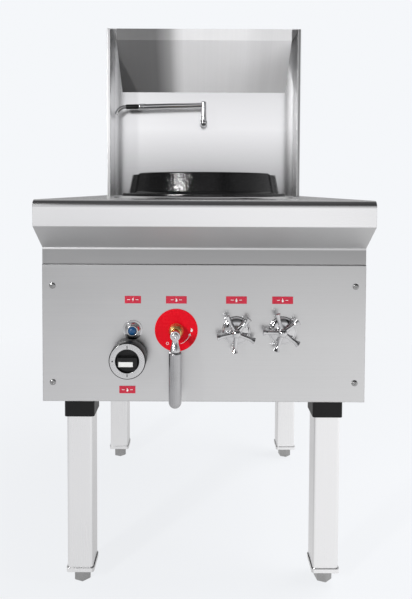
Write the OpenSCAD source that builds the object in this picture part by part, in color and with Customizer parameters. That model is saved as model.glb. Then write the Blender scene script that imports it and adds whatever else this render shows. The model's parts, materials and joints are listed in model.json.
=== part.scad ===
// Free-standing single gas wok range: cabinet on legs, splash back with flue and swing faucet.
// Millimetres. +Z is up, the cook stands on the -Y side, and the floor is at Z = 0.

/* [Deck] */
// Width of the deck and of the cabinet
top_w = 700; // [640:5:800]
// Depth of the deck from the nose to the back of the cabinet
top_d = 890; // [870:5:960]
// Height of the deck above the floor
top_h = 860; // [830:5:900]
// Thickness of the stainless sheet
sheet_t = 1.5; // [1.0:0.1:2.0]

/* [Nose] */
// Height of the upright front edge, rounding included
nose_h = 54; // [46:1:60]
// Radius of the rounding along the front edge
nose_r = 13; // [8:1:20]
// Height of the slanted underside of the nose
nose_slope_h = 50; // [40:1:60]
// Overhang of the nose in front of the cabinet
nose_reach = 70; // [60:1:80]
// Height of the plain strip under the nose
strip_h = 36; // [28:1:44]

/* [Control panel] */
// Height of the control panel
panel_h = 299; // [290:1:320]
// How far the panel stands in front of the strip above it
panel_proud = 2; // [1:0.5:4]
// Seam between the panel and the strip
panel_gap = 1; // [0.5:0.5:2]
// Depth of the folded top and bottom edges
panel_return = 18; // [12:1:20]
// Height of the row of controls above the panel's lower edge
control_row_h = 157; // [150:1:165]
// Head diameter of the panel screws
screw_head_d = 13.5; // [10:0.5:16]
// Shank diameter of the panel screws
screw_d = 5; // [4:0.5:6]
// Distance of the screws from the panel's side edges
screw_side = 22; // [18:1:26]
// Distance of the upper screws from the panel's upper edge
screw_top = 46; // [30:1:60]
// Distance of the lower screws from the panel's lower edge
screw_low = 42; // [30:1:60]

/* [Frame and legs] */
// Width of the frame rails
rail_w = 40; // [30:1:45]
// Height of the frame rails
rail_h = 30; // [25:1:40]
// Side of the square leg tube
leg_t = 57; // [50:1:60]
// Wall of the leg tube
leg_wall = 2; // [1.5:0.5:4]
// Corner radius of the leg tube
leg_corner_r = 6; // [4:1:8]
// Distance of the leg axes from the middle
leg_x = 273; // [262:1:276]
// Depth of the front leg axes behind the nose
leg_front_d = 110; // [106:1:116]
// Depth of the rear leg axes behind the nose
leg_rear_d = 700; // [640:5:740]
// Wall of the leg sockets
socket_wall = 4; // [3:0.5:5]
// Length of the leg sockets below the cabinet
socket_h = 38; // [30:1:60]
// Thickness of the plate at the foot of a leg
leg_plate_t = 9; // [6:1:12]
// Diameter of a foot
foot_d = 40; // [34:1:46]
// Height of a foot below its plate
foot_h = 30; // [24:1:36]
// Diameter of the threaded stem of a foot
foot_stem_d = 16; // [12:1:20]
// Length of the threaded stem of a foot
foot_stem_len = 48; // [40:1:60]

/* [Splash back] */
// Width of the splash back over its wings
splash_w = 644; // [620:2:660]
// Height of the splash back above the deck
splash_h = 555; // [530:5:620]
// Depth of the side wings
wing_d = 148; // [135:1:160]
// Width of the folded hem along a wing
hem_w = 10; // [8:1:14]
// Width of the sloping flue hood
hood_w = 583; // [560:1:592]
// Height of the upright band along the top of the hood
hood_band_h = 38; // [30:1:50]
// Height of the sloping face of the hood
hood_slope_h = 147; // [130:1:165]

/* [Flue] */
// Width of the flue duct behind the splash back
duct_w = 220; // [190:5:230]
// Depth of the flue duct behind the splash back
duct_d = 70; // [55:1:90]
// Distance of the flue axis from the middle, to the left
flue_x = 130; // [128:1:135]
// Width of the flue box that leaves the burner chamber
flue_box_w = 150; // [130:2:154]
// Height of the flue box
flue_box_h = 100; // [80:2:105]

/* [Burner] */
// Depth of the burner axis behind the nose
burner_depth = 390; // [380:1:396]
// Diameter of the flange of the wok ring
ring_flange_d = 442; // [430:1:450]
// Thickness of the flange of the wok ring
ring_flange_t = 7; // [5:0.5:10]
// Outer diameter of the wok ring above its flange
ring_base_d = 398; // [392:1:410]
// Outer diameter of the wok ring at its top
ring_top_d = 378; // [370:1:386]
// Height of the wok ring
ring_h = 59; // [50:1:70]
// Wall of the wok ring at its top
ring_wall = 22; // [16:1:26]
// Outer diameter of the raised rim around the well
rim_d = 491; // [480:1:495]
// Height of the raised rim
rim_h = 5; // [4:0.5:8]
// Outer diameter of the burner chamber
chamber_d = 420; // [416:1:424]
// Wall of the burner chamber
chamber_wall = 3; // [2:0.5:4]
// Height of the burner chamber
chamber_h = 258; // [250:1:262]
// Diameter of the air opening in the chamber floor
air_hole_d = 240; // [236:1:244]
// Diameter of the burner head
burner_head_d = 190; // [180:1:192]
// Height of the burner head
burner_head_h = 40; // [30:1:45]

/* [Gas controls] */
// Diameter of the red plate behind the lever
dial_d = 93; // [80:1:96]
// Distance of the lever axis from the middle, to the left
lever_x = 60; // [55:1:65]
// Reach of the lever from its axis to its lower end
lever_reach = 153; // [140:1:156]
// Diameter of the lever grip
grip_d = 27; // [18:1:28]
// Diameter of the pilot knob
knob_d = 78; // [70:1:79]
// Depth of the pilot knob
knob_depth = 34; // [28:1:36]
// Distance of the pilot knob from the middle, to the left
knob_x = 161; // [158:1:164]
// Drop of the pilot knob below the row of controls
knob_drop = 56; // [55.5:0.5:60]
// Diameter of the igniter bezel at the panel
bezel_d = 34; // [30:1:35]
// Diameter of the igniter button
button_d = 18; // [14:1:20]
// Distance of the igniter from the middle, to the left
igniter_x = 154; // [148:1:156]
// Rise of the igniter above the row of controls
igniter_rise = 0; // [0:0.5:6]

/* [Water] */
// Distance of the tank tap from the middle
tank_tap_x = 70; // [66:1:76]
// Distance of the faucet tap from the middle
faucet_tap_x = 170; // [164:1:176]
// Diameter of the tap escutcheons
escutcheon_d = 62; // [54:1:66]
// Reach of the spokes of a tap handle
spoke_reach = 42; // [36:1:45]
// Number of spokes of a tap handle
spokes = 5; // [4:1:6]
// Width of the water tank at the back of the deck
tank_w = 540; // [480:5:560]
// Gap between the raised rim and the water tank
tank_gap = 19.5; // [15:0.5:30]
// Height of the water tank below the deck
tank_h = 113; // [90:1:114]
// Distance of the faucet from the middle
faucet_x = 0; // [0:1:36]
// Height of the faucet outlet in the splash back above the deck
faucet_h = 256; // [220:1:280]
// Height of the faucet riser above its elbow
riser_h = 73; // [60:1:90]
// Reach of the swing arm to the end of its straight tube
arm_reach = 273; // [250:1:276]
// Diameter of the swing arm
arm_d = 16; // [14:1:18]

/* [Hidden] */
$fn = 48;
arc_steps = 8;
fine_steps = 240;

// Fits: overrun of cuts, running clearance of shafts and play of pieces that slip together
over = 1;
run_gap = 0.08;
slip = 0.3;

// Overall depth and the heights that follow from the front, from the deck downwards
total_d = top_d + duct_d;
nose_low_z = top_h - nose_h;
strip_top_z = nose_low_z - nose_slope_h;
strip_low_z = strip_top_z - strip_h;
panel_top_z = strip_low_z - panel_gap;
cab_z = panel_top_z - panel_h;
panel_front = nose_reach - panel_proud;
panel_back = panel_front + sheet_t;
control_z = cab_z + control_row_h;
knob_z = control_z - knob_drop;
igniter_z = control_z + igniter_rise;
inner_w = top_w - 2 * sheet_t;
rear_inner = top_d - sheet_t;

// Side panel flange that carries the panel screws, and the screws
flange_w = 34;
screw_head_h = 4;
screw_len = 12;
screw_x = top_w / 2 - screw_side;
screw_zs = [cab_z + screw_low, panel_top_z - screw_top];

// Wall of the channel rails
rail_wall = 3;

// Legs: bottom plate, socket cap, foot cone and travel
leg_plate_over = 2;
socket_cap_t = 5;
socket_t = leg_t + 2 * slip + 2 * socket_wall;
leg_top_z = cab_z - socket_cap_t;
foot_tip_d = 22;
foot_cone_h = 12;

// Burner levels, from the chamber's floor upwards
burner_y = burner_depth - total_d / 2;
chamber_top_z = top_h - sheet_t;
chamber_z = chamber_top_z - chamber_h;
chamber_floor_t = 4;
floor_z = chamber_z + chamber_floor_t;
chamber_in_d = chamber_d - 2 * chamber_wall;
ring_z = top_h + rim_h;
rim_hole_share = 0.766;
rim_hole_d = rim_d * rim_hole_share;
rim_lap = 15;
well_hole_d = min(chamber_in_d, rim_d - 2 * rim_lap);
rim_slope = 6;
ring_notch_h = 3.5;
ring_notch_a = 45;
lining_throat_d = 300;
lining_top_d = 372;
lining_h = 236;
lining_bowl_h = 100;
cradle_w = 60;
cradle_t = 6;
cradle_len = lining_throat_d - 10;
neck_d = 42;
boss_d = 70;
boss_h = 40;
neck_low_z = chamber_z - 5;
head_z = floor_z + cradle_t + boss_h;
head_top_z = head_z + burner_head_h;
jet_d = 12;
jet_h = 18;
jet_bore_d = 3;
jet_ring_shares = [[1, 0], [6, 0.36], [12, 0.78]];
jet_ring_share = 0.5;

// Pilot group beside the burner head: radius, angles and rod sizes
pilot_r = burner_head_d / 2 + 12;
pilot_angles = [215, 235, 255];
pilot_plate_t = 4;
pilot_plate_w = 20;
pilot_plate_z = head_z + 10;
pilot_plate_margin_a = 10;
pilot_tip_z = head_top_z + jet_h;
pilot_burner_d = 10;
pilot_tube_d = 6;
probe_d = 6;
electrode_d = 5;
lead_d = 4;

// Flue levels
flue_box_z = chamber_z + 25;
duct_z = chamber_z;
splash_top_z = top_h + splash_h;
hood_gap = 2;
top_hem_w = (splash_w - hood_w) / 2 - hood_gap;
window_h = 90;
window_margin = 20;

// Shoulder of a pipe end against the rear panel
shoulder_w = 8;
shoulder_t = 8;

// Gas pipe run
gas_d = 33.4;
gas_bore_d = 27;
inlet_in = 120;
gas_x = top_w / 2 - inlet_in;
gas_z = cab_z + 60;
gas_front_d = 120;
gas_out = 45;
gas_bore_len = 60;
supply_d = 27;
supply_front_d = 185;
stub_d = 20;

// Valves behind the panel
valve_front = panel_back + 6;
valve_len = 75;
main_valve_d = 44;
tap_valve_d = 36;
neck_tube_d = 22;
neck_hole_d = 24;
main_neck_out = 10;
tap_neck_out = 11;
dial_t = 1.5;
bonnet_d = 32;
bonnet_len = 25;
bonnet_cone_h = 8;
spindle_d = 12;
spindle_in = 26;
lever_axis_out = 48;
eye_d = 21;
eye_t = 10;
tang_w = 10;
tang_t = 7;
tang_len = 33;
bolt_head_d = 13;
bolt_head_h = 4;
bolt_d = 5;
bolt_len = 14;

// Pilot valve and knob
pilot_valve_w = 50;
pilot_valve_h = 44;
pilot_valve_len = 45;
pilot_spindle_d = 8;
pilot_spindle_in = 30;
pilot_bore_len = 42;
knob_clear = 8;
knob_rim = 2;
knob_ring_w = 11.5;
knob_ring_t = 1.2;
knob_pocket_depth = 8;
knob_bar_w = 44;
knob_bar_h = 19;
knob_socket = 18;

// Igniter
bezel_h = 12;
collar_wall = 2.8;
barrel_d = 24;
barrel_len = 60;
button_out = 4;
button_len = 42;
button_dome_h = 5;
button_bore_len = 50;

// Taps
escutcheon_h = 10;
escutcheon_flat = 40;
hub_d = 24;
hub_h = 14;
hub_gap = 2;
cap_d = 18;
cap_h = 5;
spoke_root_d = 9;
spoke_waist_d = 7;
spoke_tip_d = 12;
spoke_waist_share = 0.62;
spoke_root_share = 0.34;
tank_spoke_turn = 41;
faucet_spoke_turn = 55;
tap_spindle_d = 10;
tap_spindle_in = 40;

// Water pipes, tank and faucet
water_d = 21.3;
water_bore_d = 16;
water_x = top_w / 2 - inlet_in;
water_z = cab_z + 90;
water_front_d = 115;
water_out = 35;
feed_d = 16;
feed_gap = 15;
feed_drop = 28;
feed_in = 16;
tank_wall = 1.5;
tank_rim = 13;
tank_back_gap = 20;
tank_front_d = burner_depth + rim_d / 2 + tank_gap;
tank_d = top_d - tank_back_gap - tank_front_d;
riser_back = 12;
faucet_out = 60;
nipple_d = 18;
elbow_d = 24;
elbow_flange_d = 28;
elbow_flange_t = 4;
elbow_boss_h = 12;
riser_d = 17;
riser_over = 12;
collar_d = 19;
collar_len = 22;
spout_d = 12;
spout_len = 48;
spout_bend_r = 34;
spout_bend_a = 74;
sleeve_len = 44;
sleeve_d = 16.5;
sleeve_end_gap = 2;
arm_droop = 1.7;

// Label plates: centre places and sizes
label_t = 1;
label_rise = 66;
label_h = 16;
label_w = 35;
label_wide_w = 45;
label_drop = 131;
label_shift = 5;
label_list = [
    [-igniter_x, label_rise, label_w], [-lever_x, label_rise, label_wide_w],
    [tank_tap_x, label_rise, label_wide_w], [faucet_tap_x, label_rise, label_wide_w],
    [-knob_x - label_shift, -label_drop, label_w]
];

// Depth behind the nose to a place along Y
function yd(d) = d - total_d / 2;

// Points of an arc about a centre
function arc_points(cx, cy, r, from, to) =
    [for (i = [0 : arc_steps]) let (a = from + (to - from) * i / arc_steps) [cx + r * cos(a), cy + r * sin(a)]];

// Rise of the inner line of the slanted sheet over the outer line
slope_len = norm([nose_reach, nose_slope_h]);
slope_rise = sheet_t * (slope_len - nose_slope_h) / nose_reach;

// Outer and inner lines of the folded deck sheet, in depth and height
deck_outer = concat(
    [[top_d, top_h]],
    arc_points(nose_r, top_h - nose_r, nose_r, 90, 180),
    [[0, nose_low_z], [nose_reach, strip_top_z], [nose_reach, strip_low_z]]
);
deck_inner = concat(
    [
        [nose_reach + sheet_t, strip_low_z],
        [nose_reach + sheet_t, strip_top_z + slope_rise],
        [sheet_t, nose_low_z + slope_rise]
    ],
    arc_points(nose_r, top_h - nose_r, nose_r - sheet_t, 180, 90),
    [[top_d, top_h - sheet_t]]
);

// Extrudes an outline drawn in depth and height, over a width along X
module across(w, x = 0) {
    translate([x - w / 2, yd(0), 0])
        rotate([90, 0, 90])
            linear_extrude(height = w)
                children();
}

// Box from a depth range, centred on x
module box_at(x, w, d0, d1, z0, z1) {
    translate([x - w / 2, yd(d0), z0])
        cube([w, d1 - d0, z1 - z0]);
}

// Round bar along Y from depth d0 to depth d1
module bar_y(x, z, d, d0, d1) {
    translate([x, yd(d0), z])
        rotate([-90, 0, 0])
            cylinder(d = d, h = d1 - d0);
}

// Tapered round bar along Y
module cone_y(x, z, dia0, dia1, d0, d1) {
    translate([x, yd(d0), z])
        rotate([-90, 0, 0])
            cylinder(d1 = dia0, d2 = dia1, h = d1 - d0);
}

// Round pipe along straight runs with ball corners
module pipe_run(points, d) {
    for (i = [0 : len(points) - 2]) {
        run = points[i + 1] - points[i];
        translate(points[i])
            rotate([0, acos(run[2] / norm(run)), atan2(run[1], run[0])])
                cylinder(d = d, h = norm(run));
    }
    for (i = [1 : 1 : len(points) - 2])
        translate(points[i])
            sphere(d = d);
}

// Square outline with round corners
module round_square(side, r) {
    square([side - 2 * r, side], center = true);
    square([side, side - 2 * r], center = true);
    for (sx = [-1, 1], sy = [-1, 1])
        translate([sx * (side / 2 - r), sy * (side / 2 - r)])
            circle(r = r);
}

// Square tube with round corners, standing on Z
module round_tube(side, wall, r, h) {
    linear_extrude(height = h)
        difference() {
            round_square(side, r);
            round_square(side - 2 * wall, r - wall / 2);
        }
}

// Deck: one folded sheet with the burner hole and the tank hole
module deck() {
    color("silver")
        difference() {
            across(top_w)
                polygon(concat(deck_outer, deck_inner));
            translate([0, burner_y, top_h - sheet_t - over])
                cylinder(d = well_hole_d, h = sheet_t + 2 * over);
            box_at(0, tank_w + 2 * slip, tank_front_d - slip, tank_front_d + tank_d + slip,
                top_h - sheet_t - over, top_h + over);
        }
}

// Side panel: flat sheet that follows the nose, with a flange behind the control panel
module side_panel(side) {
    flange_x = side * (inner_w - flange_w) / 2;
    color("gainsboro")
        difference() {
            union() {
                across(sheet_t, side * (top_w - sheet_t) / 2)
                    polygon(concat(
                        deck_inner,
                        [[top_d, cab_z], [panel_back, cab_z], [panel_back, strip_low_z]]
                    ));
                box_at(flange_x, flange_w, panel_back, panel_back + sheet_t, cab_z, panel_top_z);
            }
            for (z = screw_zs)
                bar_y(side * screw_x, z, screw_d + 2 * run_gap, panel_front, panel_back + sheet_t + over);
        }
}

module side_panel_left() {
    side_panel(-1);
}

module side_panel_right() {
    side_panel(1);
}

// Rear panel with the flue window and the pipe holes
module rear_panel() {
    color("lightgray")
        difference() {
            box_at(0, inner_w, rear_inner, top_d, cab_z, top_h - sheet_t);
            box_at(-flue_x, flue_box_w - 2 * sheet_t, rear_inner - over, top_d + over,
                flue_box_z + sheet_t, flue_box_z + flue_box_h - sheet_t);
            bar_y(-gas_x, gas_z, gas_d + 2 * slip, rear_inner - over, top_d + over);
            bar_y(water_x, water_z, water_d + 2 * slip, rear_inner - over, top_d + over);
            bar_y(faucet_tap_x, control_z, feed_d + 2 * slip, rear_inner - over, top_d + over);
        }
}

// Control panel with folded top and bottom edges and holes for the controls
module control_panel() {
    fold_w = inner_w - 2 * flange_w - 2 * slip;
    color("silver")
        difference() {
            union() {
                box_at(0, top_w, panel_front, panel_back, cab_z, panel_top_z);
                box_at(0, fold_w, panel_front, panel_front + panel_return, cab_z, cab_z + sheet_t);
                box_at(0, fold_w, panel_front, panel_front + panel_return,
                    panel_top_z - sheet_t, panel_top_z);
            }
            for (sx = [-1, 1], z = screw_zs)
                bar_y(sx * screw_x, z, screw_d + 2 * run_gap, panel_front - over, panel_back + over);
            for (x = [-lever_x, tank_tap_x, faucet_tap_x])
                bar_y(x, control_z, neck_hole_d, panel_front - over, panel_back + over);
            bar_y(-igniter_x, igniter_z, barrel_d + 2 * slip, panel_front - over, panel_back + over);
            bar_y(-knob_x, knob_z, pilot_spindle_d + 2 * slip,
                panel_front - over, panel_back + over);
        }
}

// Four panel screws
module panel_screws() {
    color("dimgray")
        for (sx = [-1, 1], z = screw_zs) {
            cone_y(sx * screw_x, z, screw_head_d / 2, screw_head_d, panel_front - screw_head_h, panel_front);
            bar_y(sx * screw_x, z, screw_d, panel_front, panel_front + screw_len);
        }
}

// Red label plates above and below the controls
module label_plates() {
    color("crimson")
        for (label = label_list)
            box_at(label[0], label[2], panel_front - label_t, panel_front,
                control_z + label[1] - label_h / 2, control_z + label[1] + label_h / 2);
}

// Side and cross rails of the frame, of a given width and height on the same axes
module frame_rails(front, w, h) {
    inset = (rail_w - w) / 2;
    for (sx = [-1, 1])
        box_at(sx * (inner_w - rail_w) / 2, w, front, rear_inner - inset, cab_z, cab_z + h);
    for (d0 = [front, leg_rear_d - w / 2, rear_inner - inset - w])
        box_at(0, inner_w - rail_w, d0, d0 + w, cab_z, cab_z + h);
}

// Welded frame of channel rails under the cabinet, with the four leg sockets
module base_frame() {
    front = panel_front + panel_return + over;
    color("black")
        difference() {
            union() {
                difference() {
                    frame_rails(front, rail_w, rail_h);
                    translate([0, 0, -rail_wall])
                        frame_rails(front + rail_wall, rail_w - 2 * rail_wall, rail_h);
                }
                for (sx = [-1, 1], d = [leg_front_d, leg_rear_d])
                    translate([sx * leg_x, yd(d), cab_z - socket_h])
                        linear_extrude(height = socket_h)
                            round_square(socket_t, leg_corner_r);
            }
            for (sx = [-1, 1], d = [leg_front_d, leg_rear_d])
                translate([sx * leg_x, yd(d), cab_z - socket_h - over])
                    linear_extrude(height = socket_h - socket_cap_t + over)
                        round_square(leg_t + 2 * slip, leg_corner_r);
        }
}

// Leg: square tube with a bored plate welded to its lower end
module leg(sx, d) {
    color("gainsboro")
        translate([sx * leg_x, yd(d), foot_h])
            difference() {
                union() {
                    linear_extrude(height = leg_plate_t)
                        round_square(leg_t + 2 * leg_plate_over, leg_corner_r);
                    translate([0, 0, leg_plate_t])
                        round_tube(leg_t, leg_wall, leg_corner_r, leg_top_z - foot_h - leg_plate_t);
                }
                translate([0, 0, -over])
                    cylinder(d = foot_stem_d + 2 * run_gap, h = leg_plate_t + 2 * over);
            }
}

module leg_front_left() {
    leg(-1, leg_front_d);
}

module leg_front_right() {
    leg(1, leg_front_d);
}

module leg_rear_left() {
    leg(-1, leg_rear_d);
}

module leg_rear_right() {
    leg(1, leg_rear_d);
}

// Bullet foot on a threaded stem
module foot(sx, d) {
    color("darkgray")
        translate([sx * leg_x, yd(d), 0]) {
            cylinder(d1 = foot_tip_d, d2 = foot_d, h = foot_cone_h);
            translate([0, 0, foot_cone_h])
                cylinder(d = foot_d, h = foot_h - foot_cone_h);
            translate([0, 0, foot_h])
                cylinder(d = foot_stem_d, h = foot_stem_len);
        }
}

module foot_front_left() {
    foot(-1, leg_front_d);
}

module foot_front_right() {
    foot(1, leg_front_d);
}

module foot_rear_left() {
    foot(-1, leg_rear_d);
}

module foot_rear_right() {
    foot(1, leg_rear_d);
}

// Splash back sheet with the faucet hole and the flue window behind the hood
module splash_back() {
    window_w = duct_w - 2 * window_margin;
    window_top = splash_top_z - hood_band_h / 2;
    color("gainsboro")
        difference() {
            box_at(0, splash_w - 2 * sheet_t, rear_inner, top_d, top_h, splash_top_z);
            box_at(-flue_x, window_w, rear_inner - over, top_d + over, window_top - window_h, window_top);
            bar_y(faucet_x, top_h + faucet_h, nipple_d + 2 * slip, rear_inner - over, top_d + over);
        }
}

// Wing of the splash back with a folded hem along its front and a wider one along its top
module splash_wing(side) {
    front = top_d - wing_d;
    lip_x = side * (splash_w / 2 - hem_w + sheet_t / 2);
    color("silver") {
        box_at(side * (splash_w - sheet_t) / 2, sheet_t, front, top_d, top_h, splash_top_z);
        box_at(side * (splash_w - hem_w) / 2, hem_w, front, front + sheet_t, top_h, splash_top_z);
        box_at(lip_x, sheet_t, front, front + hem_w, top_h, splash_top_z);
        box_at(side * (splash_w - top_hem_w) / 2, top_hem_w, front, rear_inner,
            splash_top_z - sheet_t, splash_top_z);
    }
}

module splash_wing_left() {
    splash_wing(-1);
}

module splash_wing_right() {
    splash_wing(1);
}

// Flue hood: upright band, sloping face and two cheeks, open at the top
module flue_hood() {
    front = top_d - wing_d;
    band_z = splash_top_z - hood_band_h;
    foot_z = band_z - hood_slope_h;
    color("darkgray") {
        across(hood_w)
            polygon([
                [front, splash_top_z], [front, band_z], [rear_inner, foot_z],
                [rear_inner, foot_z + 2 * sheet_t], [front + sheet_t, band_z + sheet_t],
                [front + sheet_t, splash_top_z]
            ]);
        for (side = [-1, 1])
            across(sheet_t, side * (hood_w - sheet_t) / 2)
                polygon([
                    [front, splash_top_z], [front, band_z], [rear_inner, foot_z], [rear_inner, splash_top_z]
                ]);
    }
}

// Flue duct behind the splash back, closed above and below, open to the windows
module flue_duct() {
    color("lightgray")
        difference() {
            box_at(-flue_x, duct_w, top_d, total_d, duct_z, splash_top_z);
            box_at(-flue_x, duct_w - 2 * sheet_t, top_d - over, total_d - sheet_t,
                duct_z + sheet_t, splash_top_z - sheet_t);
        }
}

// Flue box from the burner chamber to the rear panel
module flue_box() {
    color("dimgray")
        difference() {
            box_at(-flue_x, flue_box_w, burner_depth, rear_inner, flue_box_z, flue_box_z + flue_box_h);
            box_at(-flue_x, flue_box_w - 2 * sheet_t, burner_depth - over, rear_inner + over,
                flue_box_z + sheet_t, flue_box_z + flue_box_h - sheet_t);
            translate([0, burner_y, flue_box_z - over])
                cylinder(d = chamber_d, h = flue_box_h + 2 * over, $fn = fine_steps);
        }
}

// Space of the flue opening in the chamber and its lining
module flue_port() {
    box_at(-flue_x, flue_box_w - 2 * sheet_t, burner_depth, burner_depth + chamber_d,
        flue_box_z + sheet_t, flue_box_z + flue_box_h - sheet_t);
}

// Cast ring that carries the wok, with a vent notch at each side
module wok_ring() {
    top_r = ring_top_d / 2;
    seat_r = top_r - ring_wall;
    color("black")
        translate([0, burner_y, ring_z])
            difference() {
                rotate_extrude()
                    polygon([
                        [seat_r, 0], [ring_flange_d / 2, 0], [ring_flange_d / 2, ring_flange_t],
                        [ring_base_d / 2, ring_flange_t], [top_r, ring_h], [seat_r + ring_wall / 2, ring_h],
                        [seat_r, ring_h - ring_wall / 2]
                    ]);
                for (middle = [0, 180])
                    rotate([0, 0, middle - ring_notch_a / 2])
                        translate([0, 0, ring_h - ring_notch_h])
                            rotate_extrude(angle = ring_notch_a)
                                translate([seat_r - over, 0])
                                    square([ring_wall + ring_base_d - ring_top_d, ring_notch_h + over]);
            }
}

// Raised pressed rim around the well
module well_rim() {
    color("gainsboro")
        translate([0, burner_y, top_h])
            rotate_extrude()
                polygon([
                    [rim_hole_d / 2, 0], [rim_d / 2, 0], [rim_d / 2 - rim_slope, rim_h], [rim_hole_d / 2, rim_h]
                ]);
}

// Burner chamber: drum with a ring floor and a flue port
module burner_chamber() {
    color("dimgray")
        difference() {
            translate([0, burner_y, chamber_z])
                cylinder(d = chamber_d, h = chamber_h);
            translate([0, burner_y, floor_z])
                cylinder(d = chamber_in_d, h = chamber_h);
            translate([0, burner_y, chamber_z - over])
                cylinder(d = air_hole_d, h = chamber_floor_t + 2 * over);
            flue_port();
        }
}

// Firebrick lining: straight throat that opens to a bowl
module firebrick_lining() {
    outer_r = chamber_in_d / 2 - slip;
    color("tan")
        difference() {
            translate([0, burner_y, floor_z])
                rotate_extrude()
                    polygon([
                        [lining_throat_d / 2, 0], [outer_r, 0], [outer_r, lining_h], [lining_top_d / 2, lining_h],
                        [lining_throat_d / 2, lining_h - lining_bowl_h]
                    ]);
            flue_port();
        }
}

// Cast burner head on a boss and a threaded neck
module jet_burner() {
    color("dimgray")
        translate([0, burner_y, 0]) {
            translate([0, 0, neck_low_z])
                cylinder(d = neck_d, h = head_z - neck_low_z);
            translate([0, 0, floor_z + cradle_t])
                cylinder(d = boss_d, h = boss_h);
            translate([0, 0, head_z])
                cylinder(d = burner_head_d, h = burner_head_h);
        }
}

// Brass jets on the burner head, in rings
module burner_jets() {
    color("goldenrod")
        translate([0, burner_y, head_top_z])
            for (ring = jet_ring_shares, i = [0 : ring[0] - 1])
                rotate([0, 0, 360 * i / ring[0]])
                    translate([ring[1] * burner_head_d * jet_ring_share, 0, 0])
                        difference() {
                            cylinder(d = jet_d, h = jet_h);
                            translate([0, 0, jet_h / 2])
                                cylinder(d = jet_bore_d, h = jet_h);
                        }
}

// Cross bar on the chamber floor that carries the burner
module burner_cradle() {
    color("dimgray")
        difference() {
            translate([-cradle_len / 2, burner_y - cradle_w / 2, floor_z])
                cube([cradle_len, cradle_w, cradle_t]);
            translate([0, burner_y, floor_z - over])
                cylinder(d = neck_d + 2 * slip, h = cradle_t + 2 * over);
        }
}

// Place of a rod of the pilot group
function pilot_spot(i, z) =
    [pilot_r * cos(pilot_angles[i]), burner_y + pilot_r * sin(pilot_angles[i]), z];

// Pilot burner with the plate that clamps the three rods to the burner head
module pilot_burner() {
    sweep = pilot_angles[2] - pilot_angles[0] + 2 * pilot_plate_margin_a;
    color("goldenrod")
        difference() {
            union() {
                translate([0, burner_y, pilot_plate_z])
                    rotate([0, 0, pilot_angles[0] - pilot_plate_margin_a])
                        rotate_extrude(angle = sweep)
                            translate([burner_head_d / 2, 0])
                                square([pilot_plate_w, pilot_plate_t]);
                translate(pilot_spot(1, pilot_plate_z))
                    cylinder(d = pilot_burner_d, h = pilot_tip_z - pilot_plate_z);
            }
            translate(pilot_spot(0, pilot_plate_z - over))
                cylinder(d = probe_d + 2 * run_gap, h = pilot_plate_t + 2 * over);
            translate(pilot_spot(2, pilot_plate_z - over))
                cylinder(d = electrode_d + 2 * run_gap, h = pilot_plate_t + 2 * over);
        }
}

// Copper tube from the pilot valve to the pilot burner
module pilot_tube() {
    back = yd(valve_front + pilot_valve_len);
    start = [-knob_x + pilot_valve_w / 4, back, knob_z + pilot_valve_h / 4];
    color("peru")
        pipe_run([
            start, [start[0], pilot_spot(1, start[2])[1], start[2]],
            pilot_spot(1, start[2]), pilot_spot(1, pilot_plate_z)
        ], pilot_tube_d);
}

// Thermocouple probe and its lead to the pilot valve
module thermocouple() {
    back = yd(valve_front + pilot_valve_len);
    start = [-knob_x - pilot_valve_w / 4, back, knob_z];
    color("peru") {
        pipe_run([
            start, [start[0], pilot_spot(0, start[2])[1], start[2]],
            pilot_spot(0, start[2]), pilot_spot(0, pilot_plate_z)
        ], lead_d);
        translate(pilot_spot(0, pilot_plate_z))
            cylinder(d = probe_d, h = pilot_tip_z - pilot_plate_z);
    }
}

// Spark electrode and its lead to the igniter
module spark_electrode() {
    start = [-igniter_x, yd(panel_front + barrel_len), igniter_z];
    color("white") {
        pipe_run([
            start, [start[0], pilot_spot(2, start[2])[1], start[2]],
            pilot_spot(2, start[2]), pilot_spot(2, pilot_plate_z)
        ], lead_d);
        translate(pilot_spot(2, pilot_plate_z))
            cylinder(d = electrode_d, h = pilot_tip_z - pilot_plate_z);
    }
}

// Gas pipe from the threaded end behind the cabinet to the two gas valves
module gas_pipe() {
    corner = [-gas_x, yd(gas_front_d), gas_z];
    main_low = control_z - main_valve_d / 2;
    pilot_low = knob_z - pilot_valve_h / 2;
    color("dimgray")
        difference() {
            union() {
                pipe_run([
                    [-gas_x, yd(top_d + gas_out), gas_z], corner, [-lever_x, yd(gas_front_d), gas_z]
                ], gas_d);
                bar_y(-gas_x, gas_z, gas_d + 2 * shoulder_w, top_d, top_d + shoulder_t);
                translate([-lever_x, yd(gas_front_d), gas_z])
                    cylinder(d = stub_d, h = main_low - gas_z);
                translate([-knob_x, yd(valve_front + pilot_valve_len / 2), gas_z])
                    cylinder(d = stub_d / 2, h = pilot_low - gas_z);
                translate([-knob_x, yd(valve_front + pilot_valve_len / 2), gas_z])
                    rotate([-90, 0, 0])
                        cylinder(d = stub_d / 2, h = gas_front_d - valve_front - pilot_valve_len / 2);
                translate([-knob_x, yd(valve_front + pilot_valve_len / 2), gas_z])
                    sphere(d = stub_d / 2);
            }
            bar_y(-gas_x, gas_z, gas_bore_d, top_d + gas_out - gas_bore_len, top_d + gas_out + over);
        }
}

// Pipe from the main valve to the burner neck
module burner_supply_pipe() {
    start_d = valve_front + valve_len;
    color("dimgray")
        pipe_run([
            [-lever_x, yd(start_d), control_z], [-lever_x, yd(supply_front_d), control_z],
            [0, yd(supply_front_d), control_z], [0, burner_y, control_z], [0, burner_y, neck_low_z]
        ], supply_d);
}

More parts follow.
